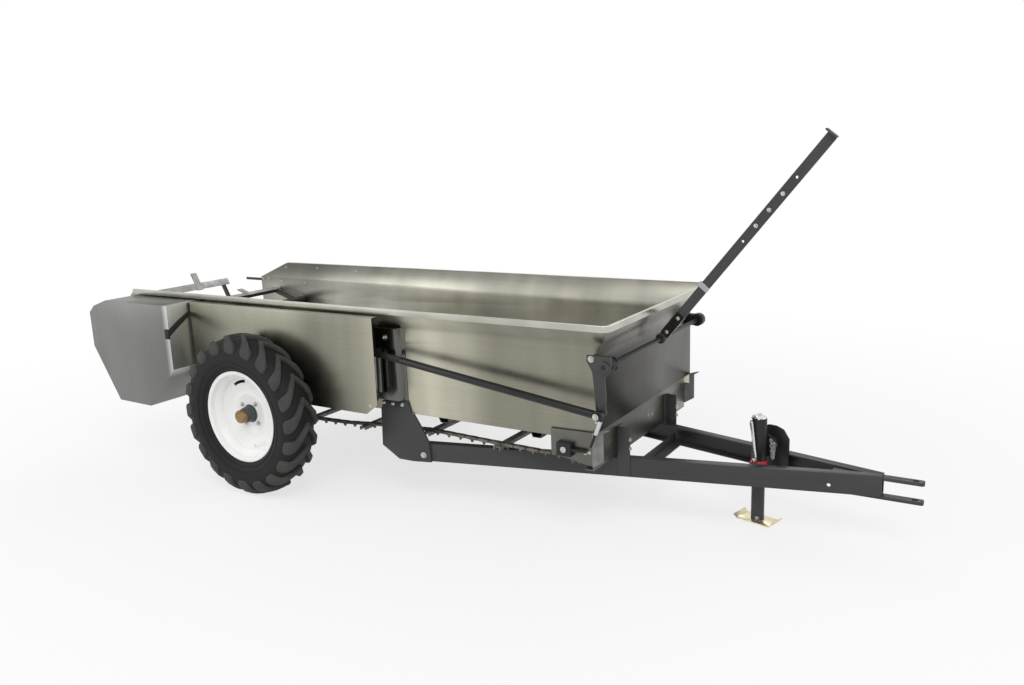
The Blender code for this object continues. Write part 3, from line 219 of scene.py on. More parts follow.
# finish: material, run of the lines, tint, roughness, depth of the painted streaks, painted light and
# shade
# The box's stainless comes in lighter and darker copies, one for each sheet: painted light and shade for
# how each is lit
SHEETS = {
    "stainless": ("stainless_sheet", "x", (0.63, 0.61, 0.49), 0.30, 0.12, [WALL_PAINTED_LIGHT]),
    "stainless_far": ("stainless_far_sheet", "x", (0.86, 0.84, 0.72), 0.34, 0.15, FAR_PAINTED_LIGHT),
    "stainless_rim": ("stainless_rim_fold", "x", (0.52, 0.51, 0.45), 0.26, 0.12),
    "stainless_cross": ("stainless_cross_sheet", "y", (0.46, 0.44, 0.395), 0.32, 0.10, FRONT_PAINTED_LIGHT),
    "stainless_channel": ("stainless_channel", "y", (0.34, 0.335, 0.30), 0.36, 0.15, [CHANNEL_PAINTED_LIGHT]),
    "stainless_hood": ("stainless_hood_sheet", "z", (0.94, 0.94, 0.90), 0.38, 0.05, [HOOD_PAINTED_LIGHT]),
    "stainless_inner": ("stainless_inner_sheet", "y", (0.50, 0.485, 0.44), 0.32, 0.10),
    "stainless_post": ("polished_post", "z", (0.13, 0.128, 0.118), 0.20, 0.30),
    "bright_steel": ("zinc_plated_steel", "x", (0.55, 0.56, 0.56), 0.36),
}
finishes = {finish: stainless_finish(*settings) for finish, settings in SHEETS.items()}
print("sheet finishes:", sorted(finishes))

# %% [markdown]
# The draw gear is powder coated: a charcoal that is slightly blue, satin, and thick enough to
# lie in a fine orange peel. So the colour hardly changes over a piece, and the life comes from
# the bump and from slow changes in roughness. A little dust lies in soft patches.

# %% Black and charcoal paint
def paint_finish(name, colour, rough=0.40, dust=0.010, gloss=0.5):
    material = new_finish(name, colour, 0.0, rough, gloss)
    patch = noise_of(material, 3.5, (1, 1, 1), 6.0, 0.6)
    peel = noise_of(material, 330.0, (1, 1, 1), 2.0)
    scuff = noise_of(material, 22.0, (1, 1, 1), 7.0, 0.68, (4, 2, 7))
    dusty = tuple(c + dust for c in colour)
    tone = ramp_of(material, patch, [(0.40, colour), (0.72, dusty)])
    mark = ramp_of(material, scuff, [(0.66, grey(0.0)), (0.74, grey(0.35))])
    scuffed = tuple(c + 2.5 * dust for c in colour)
    plug_in(material, mix_of(material, mark, tone, scuffed), "Base Color")
    dull_in_patches(material, patch, [(0.3, rough - 0.05), (0.75, rough + 0.12)])
    bump_of(material, peel, 0.12, 0.0003)
    return material


# finish: material, colour, roughness, dust, gloss
PAINTS = {
    "frame_paint": ("charcoal_frame_paint", (0.036, 0.037, 0.038), 0.40, 0.010, 0.42),
    "black_paint": ("black_paint", (0.012, 0.012, 0.013), 0.36, 0.006, 0.35),
    "hub_paint": ("hub_grey", (0.055, 0.056, 0.058), 0.46, 0.012, 0.4),
    "collar_paint": ("red_collar_paint", (0.44, 0.018, 0.020), 0.36, 0.02),
    "rim_paint": ("white_rim_paint", (0.92, 0.92, 0.91), 0.28, -0.03),
}
finishes.update({finish: paint_finish(*settings) for finish, settings in PAINTS.items()})
print("paints:", [name for name in finishes if name.endswith("paint")])

# %% [markdown]
# Rubber scatters light, so it is rough and low in gloss. The tread picks up dry dust, which is
# a touch browner than the casing; a fine grain in the bump keeps it from looking like plastic.

# %% Rubber, cast parts, board and plating
def rubber_finish(name, colour, dusty, rough=0.72):
    material = new_finish(name, colour, 0.0, rough, 0.22)
    dust = noise_of(material, 14.0, (1, 1, 1), 7.0, 0.65)
    grain = noise_of(material, 420.0, (1, 1, 1), 2.0)
    plug_in(material, ramp_of(material, dust, [(0.36, colour), (0.72, dusty)]), "Base Color")
    dull_in_patches(material, dust, [(0.3, rough - 0.12), (0.7, rough + 0.12)])
    bump_of(material, grain, 0.25, 0.0005)
    return material


def cast_finish(name, dark, brown, metal=0.55, rough=0.55):
    material = new_finish(name, dark, metal, rough)
    patch = noise_of(material, 26.0, (1, 1, 1), 8.0, 0.68)
    grit = noise_of(material, 260.0, (1, 1, 1), 3.0)
    plug_in(material, ramp_of(material, patch, [(0.40, dark), (0.66, brown)]), "Base Color")
    dull_in_patches(material, patch, [(0.3, rough - 0.1), (0.7, rough + 0.25)])
    bump_of(material, grit, 0.35, 0.0006)
    return material


# finish: material, clean colour, dusty colour, roughness
MATT = {
    "tyre": ("tyre_rubber", (0.0105, 0.0110, 0.0115), (0.018, 0.018, 0.0175), 0.62),
    "tyre_bar": ("tyre_bar_rubber", (0.042, 0.043, 0.042), (0.074, 0.073, 0.067), 0.70),
    "latch_rubber": ("latch_rubber", (0.016, 0.016, 0.016), (0.034, 0.033, 0.032), 0.6),
    "floor_board": ("floor_board", (0.26, 0.25, 0.23), (0.34, 0.32, 0.29), 0.6),
}
# finish: material, clean colour, tarnished colour, metal, roughness
CAST = {
    "apron_steel": ("chain_steel", (0.21, 0.20, 0.185), (0.12, 0.095, 0.075), 0.8, 0.42),
    "foot_zinc": ("yellow_zinc", (0.88, 0.85, 0.68), (0.80, 0.66, 0.38), 1.0, 0.36),
    "brass": ("brass_cap", (0.36, 0.25, 0.12), (0.22, 0.14, 0.07), 1.0, 0.40),
    "bolt": ("bolt_zinc", (0.60, 0.60, 0.58), (0.45, 0.43, 0.40), 1.0, 0.30),
    "dull_zinc": ("dull_zinc", (0.24, 0.243, 0.235), (0.18, 0.178, 0.17), 0.35, 0.5),
    "worn_bar": ("worn_bar", (0.50, 0.50, 0.49), (0.34, 0.33, 0.31), 0.6, 0.42),
}
finishes.update({finish: rubber_finish(*settings) for finish, settings in MATT.items()})
finishes.update({finish: cast_finish(*settings) for finish, settings in CAST.items()})
finishes["crank_chrome"] = stainless_finish("polished_plating", "z", (0.74, 0.74, 0.74), 0.16)
print("finishes in all:", len(finishes))

# %% [markdown]
# The solids have knife-sharp edges and their round bars are many-sided. Real sheet and bar
# has a small radius on each edge, and that radius is what catches the light. So each solid
# that keeps its shape gets a dressed copy: the loose triangles are merged, flat neighbours are
# joined into whole faces, sharp edges are bevelled, and the rest is shaded smooth.

# %% Dress a solid
def deselect():
    for obj in bpy.context.selected_objects:
        obj.select_set(False)


def activate(obj):
    deselect()
    obj.select_set(True)
    bpy.context.view_layer.objects.active = obj


def new_object(name, data):
    obj = bpy.data.objects.new(name, data)
    bpy.context.scene.collection.objects.link(obj)
    return obj


def in_edit(work, **settings):
    bpy.ops.object.mode_set(mode="EDIT")
    bpy.ops.mesh.select_all(action="SELECT")
    work(**settings)
    bpy.ops.object.mode_set(mode="OBJECT")


def soften(piece, width, segments=2, angle=30, smooth=40):
    """Bevels the edges sharper than angle, if a width is given, and shades the rest smooth."""
    activate(piece)
    if width:
        bevel = piece.modifiers.new("edges", "BEVEL")
        bevel.width = width
        bevel.segments = segments
        bevel.limit_method = "ANGLE"
        bevel.angle_limit = math.radians(angle)
        bpy.ops.object.modifier_apply(modifier=bevel.name)
    bpy.ops.object.shade_smooth_by_angle(angle=math.radians(smooth))
    return piece


def coat(piece, finish):
    piece.data.materials.clear()
    piece.data.materials.append(finishes[finish])
    return piece


def finish_piece(piece, body, finish, slot, *nodes):
    """Gives a piece its finish, or keeps the ones its parts already have, and its body."""
    if finish:
        coat(piece, finish)
    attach(piece, body)
    if nodes:
        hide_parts(*nodes)
    return piece


def dress(node):
    piece = new_object(node + "_dressed", frame["nodes"][node].data.copy())
    activate(piece)
    bpy.ops.object.mode_set(mode="EDIT")
    bpy.ops.mesh.select_all(action="SELECT")
    bpy.ops.mesh.remove_doubles(threshold=0.00002)
    bpy.ops.mesh.dissolve_limited(angle_limit=math.radians(0.6))
    bpy.ops.object.mode_set(mode="OBJECT")
    soften(piece, 0.0009, 2, 38, 38)
    finish = OTHER_FINISH.get(node, finish_of_node[node])
    return finish_piece(piece, body_of_node[node], finish, finish_of_node[node], node)


# Nodes whose look differs from the rest of their slot
# The box's sheets and channel take the lighter and darker copies of the stainless that paint in their
# light
OTHER_FINISH = {
    "box_front": "stainless_cross", "box_side_left": "stainless_far", "box_rim": "stainless_rim",
    "floor_frame": "stainless_channel", "front_channel": "stainless_channel",
    "hood_right": "stainless_hood", "hood_left": "stainless_hood",
    "post_right": "stainless_post", "post_left": "stainless_post",
}
# Nodes that a piece of its own stands for
BUILT_LATER = {
    "tyre_right", "tyre_left", "wheel_rim_right", "wheel_rim_left", "hub_right", "hub_left",
    "apron", "control_bearing_right",
}

# %% [markdown]
# Studio: a pale floor, a white backdrop and three large soft lamps. The backdrop is the world:
# rays that come from the camera, and those that mirrors and glass send on, see it white near the
# ground and greyer overhead; the soft light that it gives to matt surfaces is set apart. The
# floor turns into that white with distance, so no edge shows, and keeps the shadow under it.

# %% Studio, lamps and camera
def seen_rays(nodes, links):
    """1 for rays of the camera, of mirrors and of glass, 0 for the soft light."""
    path = nodes.new("ShaderNodeLightPath")
    total = path.outputs["Is Camera Ray"]
    for kind in ("Is Glossy Ray", "Is Transmission Ray"):
        add = nodes.new("ShaderNodeMath")
        add.operation = "MAXIMUM"
        links.new(total, add.inputs[0])
        links.new(path.outputs[kind], add.inputs[1])
        total = add.outputs[0]
    return total


def studio_world():
    world = bpy.data.worlds.new("studio")
    bpy.context.scene.world = world
    world.use_nodes = True
    nodes, links = world.node_tree.nodes, world.node_tree.links
    soft = nodes["Background"]
    soft.inputs["Color"].default_value = (1.0, 1.0, 1.0, 1)
    soft.inputs["Strength"].default_value = 0.55
    place = nodes.new("ShaderNodeTexCoord")
    split = nodes.new("ShaderNodeSeparateXYZ")
    backdrop = nodes.new("ShaderNodeBackground")
    pick = nodes.new("ShaderNodeMixShader")
    links.new(place.outputs["Generated"], split.inputs[0])
    fall = ramp_of(world, split.outputs["Z"], [(0.22, grey(1.0)), (0.85, grey(0.42))])
    links.new(fall, backdrop.inputs["Color"])
    links.new(seen_rays(nodes, links), pick.inputs[0])
    links.new(soft.outputs[0], pick.inputs[1])
    links.new(backdrop.outputs[0], pick.inputs[2])
    links.new(pick.outputs[0], nodes["World Output"].inputs["Surface"])


def studio_floor():
    deselect()
    bpy.ops.mesh.primitive_circle_add(vertices=96, radius=60, fill_type="NGON")
    floor = bpy.context.active_object
    floor.name = "studio_floor"
    material = new_finish("pale_floor", grey(0.88), 0.0, 1.0, 0.0)
    nodes, links = material.node_tree.nodes, material.node_tree.links
    place = nodes.new("ShaderNodeTexCoord")
    distance = nodes.new("ShaderNodeVectorMath")
    distance.operation = "LENGTH"
    away = nodes.new("ShaderNodeMapRange")
    away.interpolation_type = "SMOOTHSTEP"
    away.inputs["From Min"].default_value = 1.2
    away.inputs["From Max"].default_value = 4.6
    away.inputs["To Min"].default_value = FLOOR_SHADE
    white = nodes.new("ShaderNodeEmission")
    share = nodes.new("ShaderNodeMath")
    share.operation = "MULTIPLY"
    pick = nodes.new("ShaderNodeMixShader")
    links.new(place.outputs["Object"], distance.inputs[0])
    links.new(distance.outputs["Value"], away.inputs["Value"])
    links.new(away.outputs["Result"], share.inputs[0])
    links.new(seen_rays(nodes, links), share.inputs[1])
    links.new(share.outputs[0], pick.inputs[0])
    links.new(nodes["Principled BSDF"].outputs[0], pick.inputs[1])
    links.new(white.outputs[0], pick.inputs[2])
    links.new(pick.outputs[0], nodes["Material Output"].inputs["Surface"])
    floor.data.materials.append(material)
    return floor


def lamp(name, place, aim, size, power):
    data = bpy.data.lights.new(name, "AREA")
    data.shape = "DISK"
    data.size = size
    data.energy = power
    obj = new_object(name, data)
    obj.location = place
    obj.rotation_euler = (Vector(aim) - Vector(place)).to_track_quat("-Z", "Y").to_euler()


# Share of the backdrop's white that the floor shows beside the machine
FLOOR_SHADE = 0.72
studio_world()
studio_floor()
lamp("key", (3.5, -5.0, 6.5), (0, 0, 0.4), 5.0, 260)
lamp("fill", (-5.0, -4.5, 3.5), (0, 0, 0.5), 4.5, 90)
lamp("back", (-1.0, 6.0, 6.5), (0, 0, 0.3), 5.0, 110)

camera = new_object("camera", bpy.data.cameras.new("camera"))
camera.location = (2.2855, -3.239, 1.467)
camera.rotation_euler = [math.radians(a) for a in (77.6076, 2.1113, 31.7007)]
camera.data.sensor_width = 36
camera.data.lens = 30.98
bpy.context.scene.camera = camera
bpy.context.scene.view_settings.view_transform = "Standard"
print("camera stands at:", tuple(camera.location), "lens:", camera.data.lens)

# %% [markdown]
# Anything round about the axle starts as its cut section: a ring of points set to the section
# is spun once round. A lathe on the real parts does the same. The second tool here draws out
# a section: the end face is extruded again and again, and each new end is set to its place.

# %% Helpers for turned and drawn-out pieces
def tidy_mesh(piece, merge=0.00001):
    activate(piece)
    in_edit(bpy.ops.mesh.remove_doubles, threshold=merge)
    in_edit(bpy.ops.mesh.normals_make_consistent, inside=False)
    return piece


def ring_of_points(name, points, fill="NOTHING"):
    deselect()
    bpy.ops.mesh.primitive_circle_add(vertices=len(points), fill_type=fill)
    piece = bpy.context.active_object
    piece.name = name
    for corner, point in zip(piece.data.vertices, points):
        corner.co = point
    return piece


def lathe(name, section, centre, steps=96):
    """A closed section of (y, radius) spun round a line along Y through centre (x, z)."""
    points = [(centre[0], y, centre[1] + r) for y, r in section]
    piece = ring_of_points(name, points)
    middle = (centre[0], 0, centre[1])
    in_edit(bpy.ops.mesh.spin, steps=steps, angle=2 * math.pi, center=middle, axis=(0, 1, 0))
    return tidy_mesh(piece)


def drawn_out(name, rings):
    """A solid that passes through rings of points, closed at both ends."""
    piece = ring_of_points(name, rings[0], "NGON")
    bpy.ops.object.mode_set(mode="EDIT")
    bpy.ops.mesh.select_all(action="SELECT")
    for ring in rings[1:]:
        bpy.ops.mesh.extrude_region_move()
        bpy.ops.object.mode_set(mode="OBJECT")
        ends = [v for v in piece.data.vertices if v.select]
        for corner, point in zip(ends, ring):
            corner.co = point
        bpy.ops.object.mode_set(mode="EDIT")
    bpy.ops.object.mode_set(mode="OBJECT")
    return tidy_mesh(piece)


def copied(piece, matrix):
    twin = new_object(piece.name, piece.data.copy())
    twin.data.transform(matrix)
    if matrix.determinant() < 0:
        twin.data.flip_normals()
    return twin


def mirrored(piece, name):
    twin = copied(piece, Matrix.Diagonal((1, -1, 1, 1)))
    twin.name = name
    return twin


def joined(name, pieces):
    deselect()
    for piece in pieces:
        piece.select_set(True)
    bpy.context.view_layer.objects.active = pieces[0]
    bpy.ops.object.join()
    piece = bpy.context.active_object
    piece.name = name
    return piece


def triangles(piece):
    return sum(len(face.vertices) - 2 for face in piece.data.polygons)


# %% [markdown]
# The tyre is a farm tyre with twenty bars a side. Each bar starts at the middle of the tread,
# leans back as it crosses the shoulder, widens there, and ends in a rounded foot on the side
# wall. One bar is drawn out along that path and rounded; the rest are turned copies of it on a
# spun casing. The bars are lighter in colour than the casing, so they keep a finish of their own.

# %% Tyres
WHEEL = (AXLE_X, 0.362)
TYRE_Y = 0.6775
BARS = 20
BAR_SWEEP = 17
# Turn of the bars' feet from the line straight ahead of the axle, in degrees
BAR_START = -1.5
# distance from the middle plane, radius at the bar's face, share of the sweep, half width
BAR_PATH = (
    (-0.006, 0.3608, 0.04, 0.0120),
    (0.012, 0.3614, -0.14, 0.0128),
    (0.032, 0.3600, -0.40, 0.0145),
    (0.052, 0.3545, -0.66, 0.0185),
    (0.0665, 0.3450, -0.82, 0.0235),
    (0.0765, 0.3300, -0.92, 0.0275),
    (0.0822, 0.3120, -0.98, 0.0290),
    (0.0826, 0.2985, -1.00, 0.0250),
    (0.0815, 0.2905, -1.00, 0.0150),
)


def bar_ring(y, radius, share, half):
    # Over the shoulder the depth of the bar turns from radial to sideways
    side_on = min(max(y - 0.045, 0.0) / 0.036, 1.0)
    inner_y = y - 0.022 * side_on
    inner_r = radius - 0.026 * (1.0 - 0.75 * side_on)
    corners = ((inner_y, inner_r, -1.25), (y, radius, -1.0), (y, radius, 1.0), (inner_y, inner_r, 1.25))
    points = []
    for yy, r, side in corners:
        angle = math.radians(BAR_SWEEP * share) + side * half / r
        points.append((WHEEL[0] + r * math.cos(angle), yy, WHEEL[1] + r * math.sin(angle)))
    return points


def tyre_casing():
    half = [
        (0.0545, 0.1945), (0.0560, 0.2085), (0.0640, 0.2150), (0.0740, 0.2350),
        (0.0795, 0.2620), (0.0785, 0.2870), (0.0730, 0.3080), (0.0640, 0.3240),
        (0.0500, 0.3350), (0.0300, 0.3415), (0.0100, 0.3440),
    ]
    section = [(-y, r) for y, r in half] + [(y, r) for y, r in reversed(half)]
    pieces = [soften(lathe("casing", section, WHEEL, 120), 0, smooth=50)]
    # Fine rings are moulded on the side wall beside the rim
    for y, r in ((0.0700, 0.2245), (0.0772, 0.2480)):
        for sign in (-1, 1):
            corners = ((-0.003, -0.0015), (0.0012, -0.0012), (0.0012, 0.0012), (-0.003, 0.0015))
            line = [(sign * (y + dy), r + dr) for dy, dr in corners]
            pieces.append(soften(lathe("ring", line, WHEEL, 96), 0, smooth=60))
    return [coat(piece, "tyre") for piece in pieces]


def tyre_bars():
    bar = drawn_out("bar", [bar_ring(*row) for row in BAR_PATH])
    coat(soften(bar, 0.0042, 3, 35), "tyre_bar")
    there = Matrix.Translation((WHEEL[0], 0, WHEEL[1]))
    bars = []
    for i in range(BARS):
        turn = Matrix.Rotation(-math.radians(360 * i / BARS + BAR_START), 4, "Y")
        for sign in (-1, 1):
            side = Matrix.Diagonal((1, sign, 1, 1))
            bars.append(copied(bar, there @ turn @ side @ there.inverted()))
    bpy.data.objects.remove(bar)
    return bars


right_tyre = joined("tyre_right_detailed", tyre_casing() + tyre_bars())
right_tyre.data.transform(Matrix.Translation((0, -TYRE_Y, 0)))
left_tyre = mirrored(right_tyre, "tyre_left_detailed")
finish_piece(right_tyre, "wheel_right", None, "tyre", "tyre_right")
finish_piece(left_tyre, "wheel_left", None, "tyre", "tyre_left")
print("tyre triangles:", triangles(right_tyre))

# %% [markdown]
# The wheel is pressed steel in white enamel: a rim with rolled edges and a drop centre, and a
# shallow disc with a raised ring near the hub. Two slots in the disc lie opposite each other.
# They are cut with a curved cutter, as a press would punch them.

# %% Wheel rims
RIM_HALF = 0.0575
DISC_FRONT, DISC_BACK = -0.6712, -0.6675
SLOT_TURNS = (109, 289)
SLOT_OUTER, SLOT_INNER = 0.155, 0.1415


def wheel_rim():
    out, inn = -TYRE_Y - RIM_HALF, -TYRE_Y + RIM_HALF
    outside = [
        (out + 0.0010, 0.2062), (out + 0.0026, 0.2050), (out + 0.0032, 0.2000), (out + 0.0044, 0.1945),
        (out + 0.0080, 0.1922), (out + 0.0240, 0.1915), (out + 0.0320, 0.1850), (out + 0.0420, 0.1738),
        (-TYRE_Y, 0.1722),
        (inn - 0.0420, 0.1738), (inn - 0.0320, 0.1850), (inn - 0.0240, 0.1915), (inn - 0.0080, 0.1922),
        (inn - 0.0044, 0.1945), (inn - 0.0032, 0.2000), (inn - 0.0026, 0.2050), (inn - 0.0010, 0.2062),
    ]
    inside = [
        (inn, 0.2045), (inn - 0.0004, 0.1960), (inn - 0.0030, 0.1898), (inn - 0.0235, 0.1886),
        (inn - 0.0310, 0.1825), (inn - 0.0425, 0.1708), (-TYRE_Y + 0.0060, 0.1696),
        (-TYRE_Y + 0.0050, 0.1560), (-TYRE_Y + 0.0068, 0.1280),
        (DISC_BACK, 0.1180), (DISC_BACK, 0.0400),
        (DISC_FRONT, 0.0400), (DISC_FRONT, 0.0780), (DISC_FRONT - 0.0030, 0.0830),
        (DISC_FRONT - 0.0030, 0.0960), (DISC_FRONT, 0.1020), (DISC_FRONT, 0.1180),
        (-TYRE_Y + 0.0020, 0.1300), (-TYRE_Y, 0.1560),
        (-TYRE_Y - 0.0006, 0.1680), (-TYRE_Y - 0.0040, 0.1697),
        (out + 0.0425, 0.1708), (out + 0.0310, 0.1825), (out + 0.0235, 0.1886), (out + 0.0030, 0.1898),
        (out + 0.0004, 0.1960), (out, 0.2045),
    ]
    rim = lathe("wheel_rim_right_detailed", outside + inside, WHEEL, 128)
    for degrees in SLOT_TURNS:
        # A crescent of 30 degrees, pushed right through the disc
        outline = []
        for r, steps in ((SLOT_OUTER, range(-3, 4)), (SLOT_INNER, range(3, -4, -1))):
            for angle in (math.radians(degrees + 5 * k) for k in steps):
                outline.append((WHEEL[0] + r * math.cos(angle), WHEEL[1] + r * math.sin(angle)))
        cutter = drawn_out("cutter", [[(x, y, z) for x, z in outline] for y in (-0.70, -0.65)])
        activate(rim)
        slot = rim.modifiers.new("slot", "BOOLEAN")
        slot.operation = "DIFFERENCE"
        slot.object = cutter
        bpy.ops.object.modifier_apply(modifier=slot.name)
        bpy.data.objects.remove(cutter)
    return soften(rim, 0, smooth=32)


right_rim = wheel_rim()
left_rim = mirrored(right_rim, "wheel_rim_left_detailed")
finish_piece(right_rim, "wheel_right", "rim_paint", "rim_paint", "wheel_rim_right")
finish_piece(left_rim, "wheel_left", "rim_paint", "rim_paint", "wheel_rim_left")
print("rim triangles:", triangles(right_rim))

# %% [markdown]
# The hub is a turned casting: a flange behind the disc, a tapering barrel in front of it and a
# brass-coloured cap on its end. Behind it a sleeve carries the sprocket of the drive chain.
# A sprocket is a disc with every second pair of rim points pulled in before it is drawn out.

# %% Hubs, sprockets and wheel bolts
DRIVE_Y = 0.515
WHEEL_BOLT_R = 0.060
WHEEL_BOLT_TURNS = (53, 143, 235, 317)


def hub():
    sleeve = [
        (-0.5030, 0.0185), (-0.5030, 0.0275), (-0.5045, 0.0285), (-0.5900, 0.0285), (-0.5925, 0.0340),
        (-0.6540, 0.0345), (-0.6585, 0.0380), (-0.6592, 0.0690), (-0.6602, 0.0700), (-0.6660, 0.0700),
        (-0.6670, 0.0690), (-0.6670, 0.0405), (-0.6725, 0.0412), (-0.6745, 0.0400), (-0.6750, 0.0366),
        (-0.6900, 0.0352), (-0.7120, 0.0322), (-0.7140, 0.0310), (-0.7140, 0.0185),
    ]
    barrel = soften(lathe("hub_barrel", sleeve, WHEEL, 64), 0, smooth=35)
    blank = sprocket("hub_sprocket", WHEEL, -DRIVE_Y, 0.0425, 12)
    return joined("hub_right_detailed", [barrel, blank])


def sprocket(name, centre, y, radius, teeth):
    """A disc whose rim rises and falls: every second pair of rim points is pulled in."""
    points = []
    for i in range(teeth * 4):
        r = radius if i % 4 < 2 else radius - 0.0045
        angle = 2 * math.pi * i / (teeth * 4)
        points.append((centre[0] + r * math.cos(angle), y - 0.0035, centre[1] + r * math.sin(angle)))
    far = [(x, yy + 0.007, z) for x, yy, z in points]
    return soften(drawn_out(name, [points, far]), 0.0007, 1, 40)


def cap():
    section = [
        (-0.7130, 0.0010), (-0.7130, 0.0285), (-0.7150, 0.0295), (-0.7340, 0.0293), (-0.7372, 0.0275),
        (-0.7378, 0.0235), (-0.7362, 0.0215), (-0.7356, 0.0080), (-0.7372, 0.0060), (-0.7376, 0.0010),
    ]
    return soften(lathe("hub_cap_right", section, WHEEL, 56), 0, smooth=40)


def round_bar(sides, radius, low, top, edge, segments):
    """A short bar along Z with softened rims."""
    deselect()
    bpy.ops.mesh.primitive_cylinder_add(
        vertices=sides, radius=radius, depth=top - low, location=(0, 0, (low + top) / 2))
    bpy.ops.object.transform_apply(location=True)
    return soften(bpy.context.active_object, edge, segments, 40)


def bolt(size, high, stud=0.0):
    """Hexagon head on a washer, standing up along Z from the origin."""
    edge = size * 0.10
    parts = [
        round_bar(28, size * 1.45, -0.0004, size * 0.22, edge, 2),
        round_bar(6, size, size * 0.2, size * 0.2 + high, edge, 2),
    ]
    if stud:
        parts.append(round_bar(14, size * 0.52, 0.0, stud, edge, 1))
    return joined("bolt", parts)


def rivet(size):
    deselect()
    bpy.ops.mesh.primitive_uv_sphere_add(segments=16, ring_count=8, radius=size, location=(0, 0, 0))
    head = bpy.context.active_object
    in_edit(bpy.ops.mesh.bisect, plane_co=(0, 0, -0.0002), plane_no=(0, 0, 1),
            clear_inner=True, use_fill=True)
    head.data.transform(Matrix.Diagonal((1, 1, 0.5, 1)))
    return soften(head, 0, smooth=60)


def set_out(name, body, pattern, places, finish="bolt", slot="bright_steel"):
    """Copies of one small part, each at a place and along a direction, joined in one mesh."""
    copies = []
    for place, direction in places:
        turn = Vector(direction).to_track_quat("Z", "Y").to_matrix().to_4x4()
        copies.append(copied(pattern, Matrix.Translation(place) @ turn))
    bpy.data.objects.remove(pattern)
    return finish_piece(joined(name, copies), body, finish, slot)


turned, top = hub(), cap()
for side, sign in (("right", -1), ("left", 1)):
    if side == "left":
        turned, top = mirrored(turned, "hub_left_detailed"), mirrored(top, "hub_cap_left")
    body = "wheel_" + side
    finish_piece(turned, body, "hub_paint", "hub_paint", "hub_" + side)
    finish_piece(top, body, "brass", "hub_paint")
    places = []
    for angle in (math.radians(degrees) for degrees in WHEEL_BOLT_TURNS):
        x, z = WHEEL[0] + WHEEL_BOLT_R * math.cos(angle), WHEEL[1] + WHEEL_BOLT_R * math.sin(angle)
        places.append(((x, -sign * DISC_FRONT, z), (0, sign, 0)))
    set_out("wheel_bolts_" + side, body, bolt(0.0078, 0.0065, 0.0120), places)

# %% [markdown]
# The moving floor is pulled by two strands of hooked chain. A link is two side plates, a
# barrel across them and a hook on the outside. It is modelled once, lying along X, and copied
# to every step of the loop: along the floor, round the front shaft and back with a slack run.

# %% Floor chain and slats
CHAIN_Y, PITCH, CHAIN_R = 0.380, 0.0587, 0.0587
SHAFT_Z = 0.3604
FRONT_X, REAR_X = AXLE_X + 1.480, AXLE_X - 0.480
# share of the way back along the return run, rise above the straight line
RETURN_RUN = (
    (0.08, -0.006), (0.21, -0.001), (0.36, 0.007), (0.48, -0.005),
    (0.60, -0.024), (0.74, -0.032), (0.88, -0.018),
)
SLATS = 12


def chain_loop():
    points = []
    for centre, start in ((FRONT_X, 90), (REAR_X, 270)):
        for i in range(13):
            angle = math.radians(start - 15 * i)
            out = Vector((math.cos(angle), math.sin(angle)))
            points.append(Vector((centre, SHAFT_Z)) + CHAIN_R * out)
        if start == 90:
            for share, rise in RETURN_RUN:
                points.append(Vector((FRONT_X + (REAR_X - FRONT_X) * share, SHAFT_Z - CHAIN_R + rise)))
    return points


def lengths_of(points):
    return [(points[(i + 1) % len(points)] - points[i]).length for i in range(len(points))]


def steps_along(points, count):
    lengths, places = lengths_of(points), []
    for n in range(count):
        goal, i = sum(lengths) * (n + 0.5) / count, 0
        while goal > lengths[i]:
            goal -= lengths[i]
            i += 1
        along = (points[(i + 1) % len(points)] - points[i]).normalized()
        spot = points[i] + along * goal
        places.append(Matrix((
            (along.x, 0, -along.y, spot.x), (0, 1, 0, 0), (along.y, 0, along.x, spot.y), (0, 0, 0, 1))))
    return places


def flat_bar(name, outline, y0, y1, edge=0.0006):
    """An outline in X and Z, pushed along Y, with softened edges."""
    near = [(x, y0, z) for x, z in outline]
    far = [(x, y1, z) for x, z in outline]
    return soften(drawn_out(name, [near, far]), edge, 1, 30)


def chain_link():
    half = PITCH / 2
    parts = []
    for y in (-0.0105, 0.0075):
        outline = [
            (-half - 0.004, -0.004), (-half + 0.010, -0.0060),
            (half - 0.008, -0.0055), (half + 0.004, -0.0035),
            (half + 0.004, 0.0035), (half - 0.008, 0.0055),
            (-half + 0.010, 0.0060), (-half - 0.004, 0.004),
        ]
        parts.append(flat_bar("plate", outline, y, y + 0.003, 0))
    barrel = [(-0.0118, 0.0015), (-0.0118, 0.0055), (0.0118, 0.0055), (0.0118, 0.0015)]
    parts.append(soften(lathe("barrel", barrel, (-half + 0.004, 0), 10), 0))
    tooth = [
        (-0.010, 0.004), (0.010, 0.004), (0.004, 0.0105),
        (-0.0005, 0.0180), (-0.0035, 0.0186), (-0.0045, 0.0120),
    ]
    parts.append(flat_bar("tooth", tooth, -0.0055, 0.0055, 0))
    return joined("link", parts)


loop = chain_loop()
links = []
pattern = chain_link()
for place in steps_along(loop, int(round(sum(lengths_of(loop)) / PITCH))):
    for y in (-CHAIN_Y, CHAIN_Y):
        links.append(copied(pattern, Matrix.Translation((0, y, 0)) @ place))
bpy.data.objects.remove(pattern)
chain = joined("floor_chain", links)
finish_piece(chain, "chassis", "apron_steel", "apron_steel", "apron")
outline = [
    (-0.016, 0.006), (0.016, 0.006), (0.016, 0.022), (0.012, 0.022),
    (0.012, 0.0098), (-0.012, 0.0098), (-0.012, 0.022), (-0.016, 0.022),
]
pattern = flat_bar("slat", outline, -CHAIN_Y - 0.03, CHAIN_Y + 0.03)
slats = joined("floor_slats", [copied(pattern, place) for place in steps_along(loop, SLATS)])
bpy.data.objects.remove(pattern)
finish_piece(slats, "chassis", "dull_zinc", "apron_steel")
print("links:", len(links), "triangles:", triangles(chain))

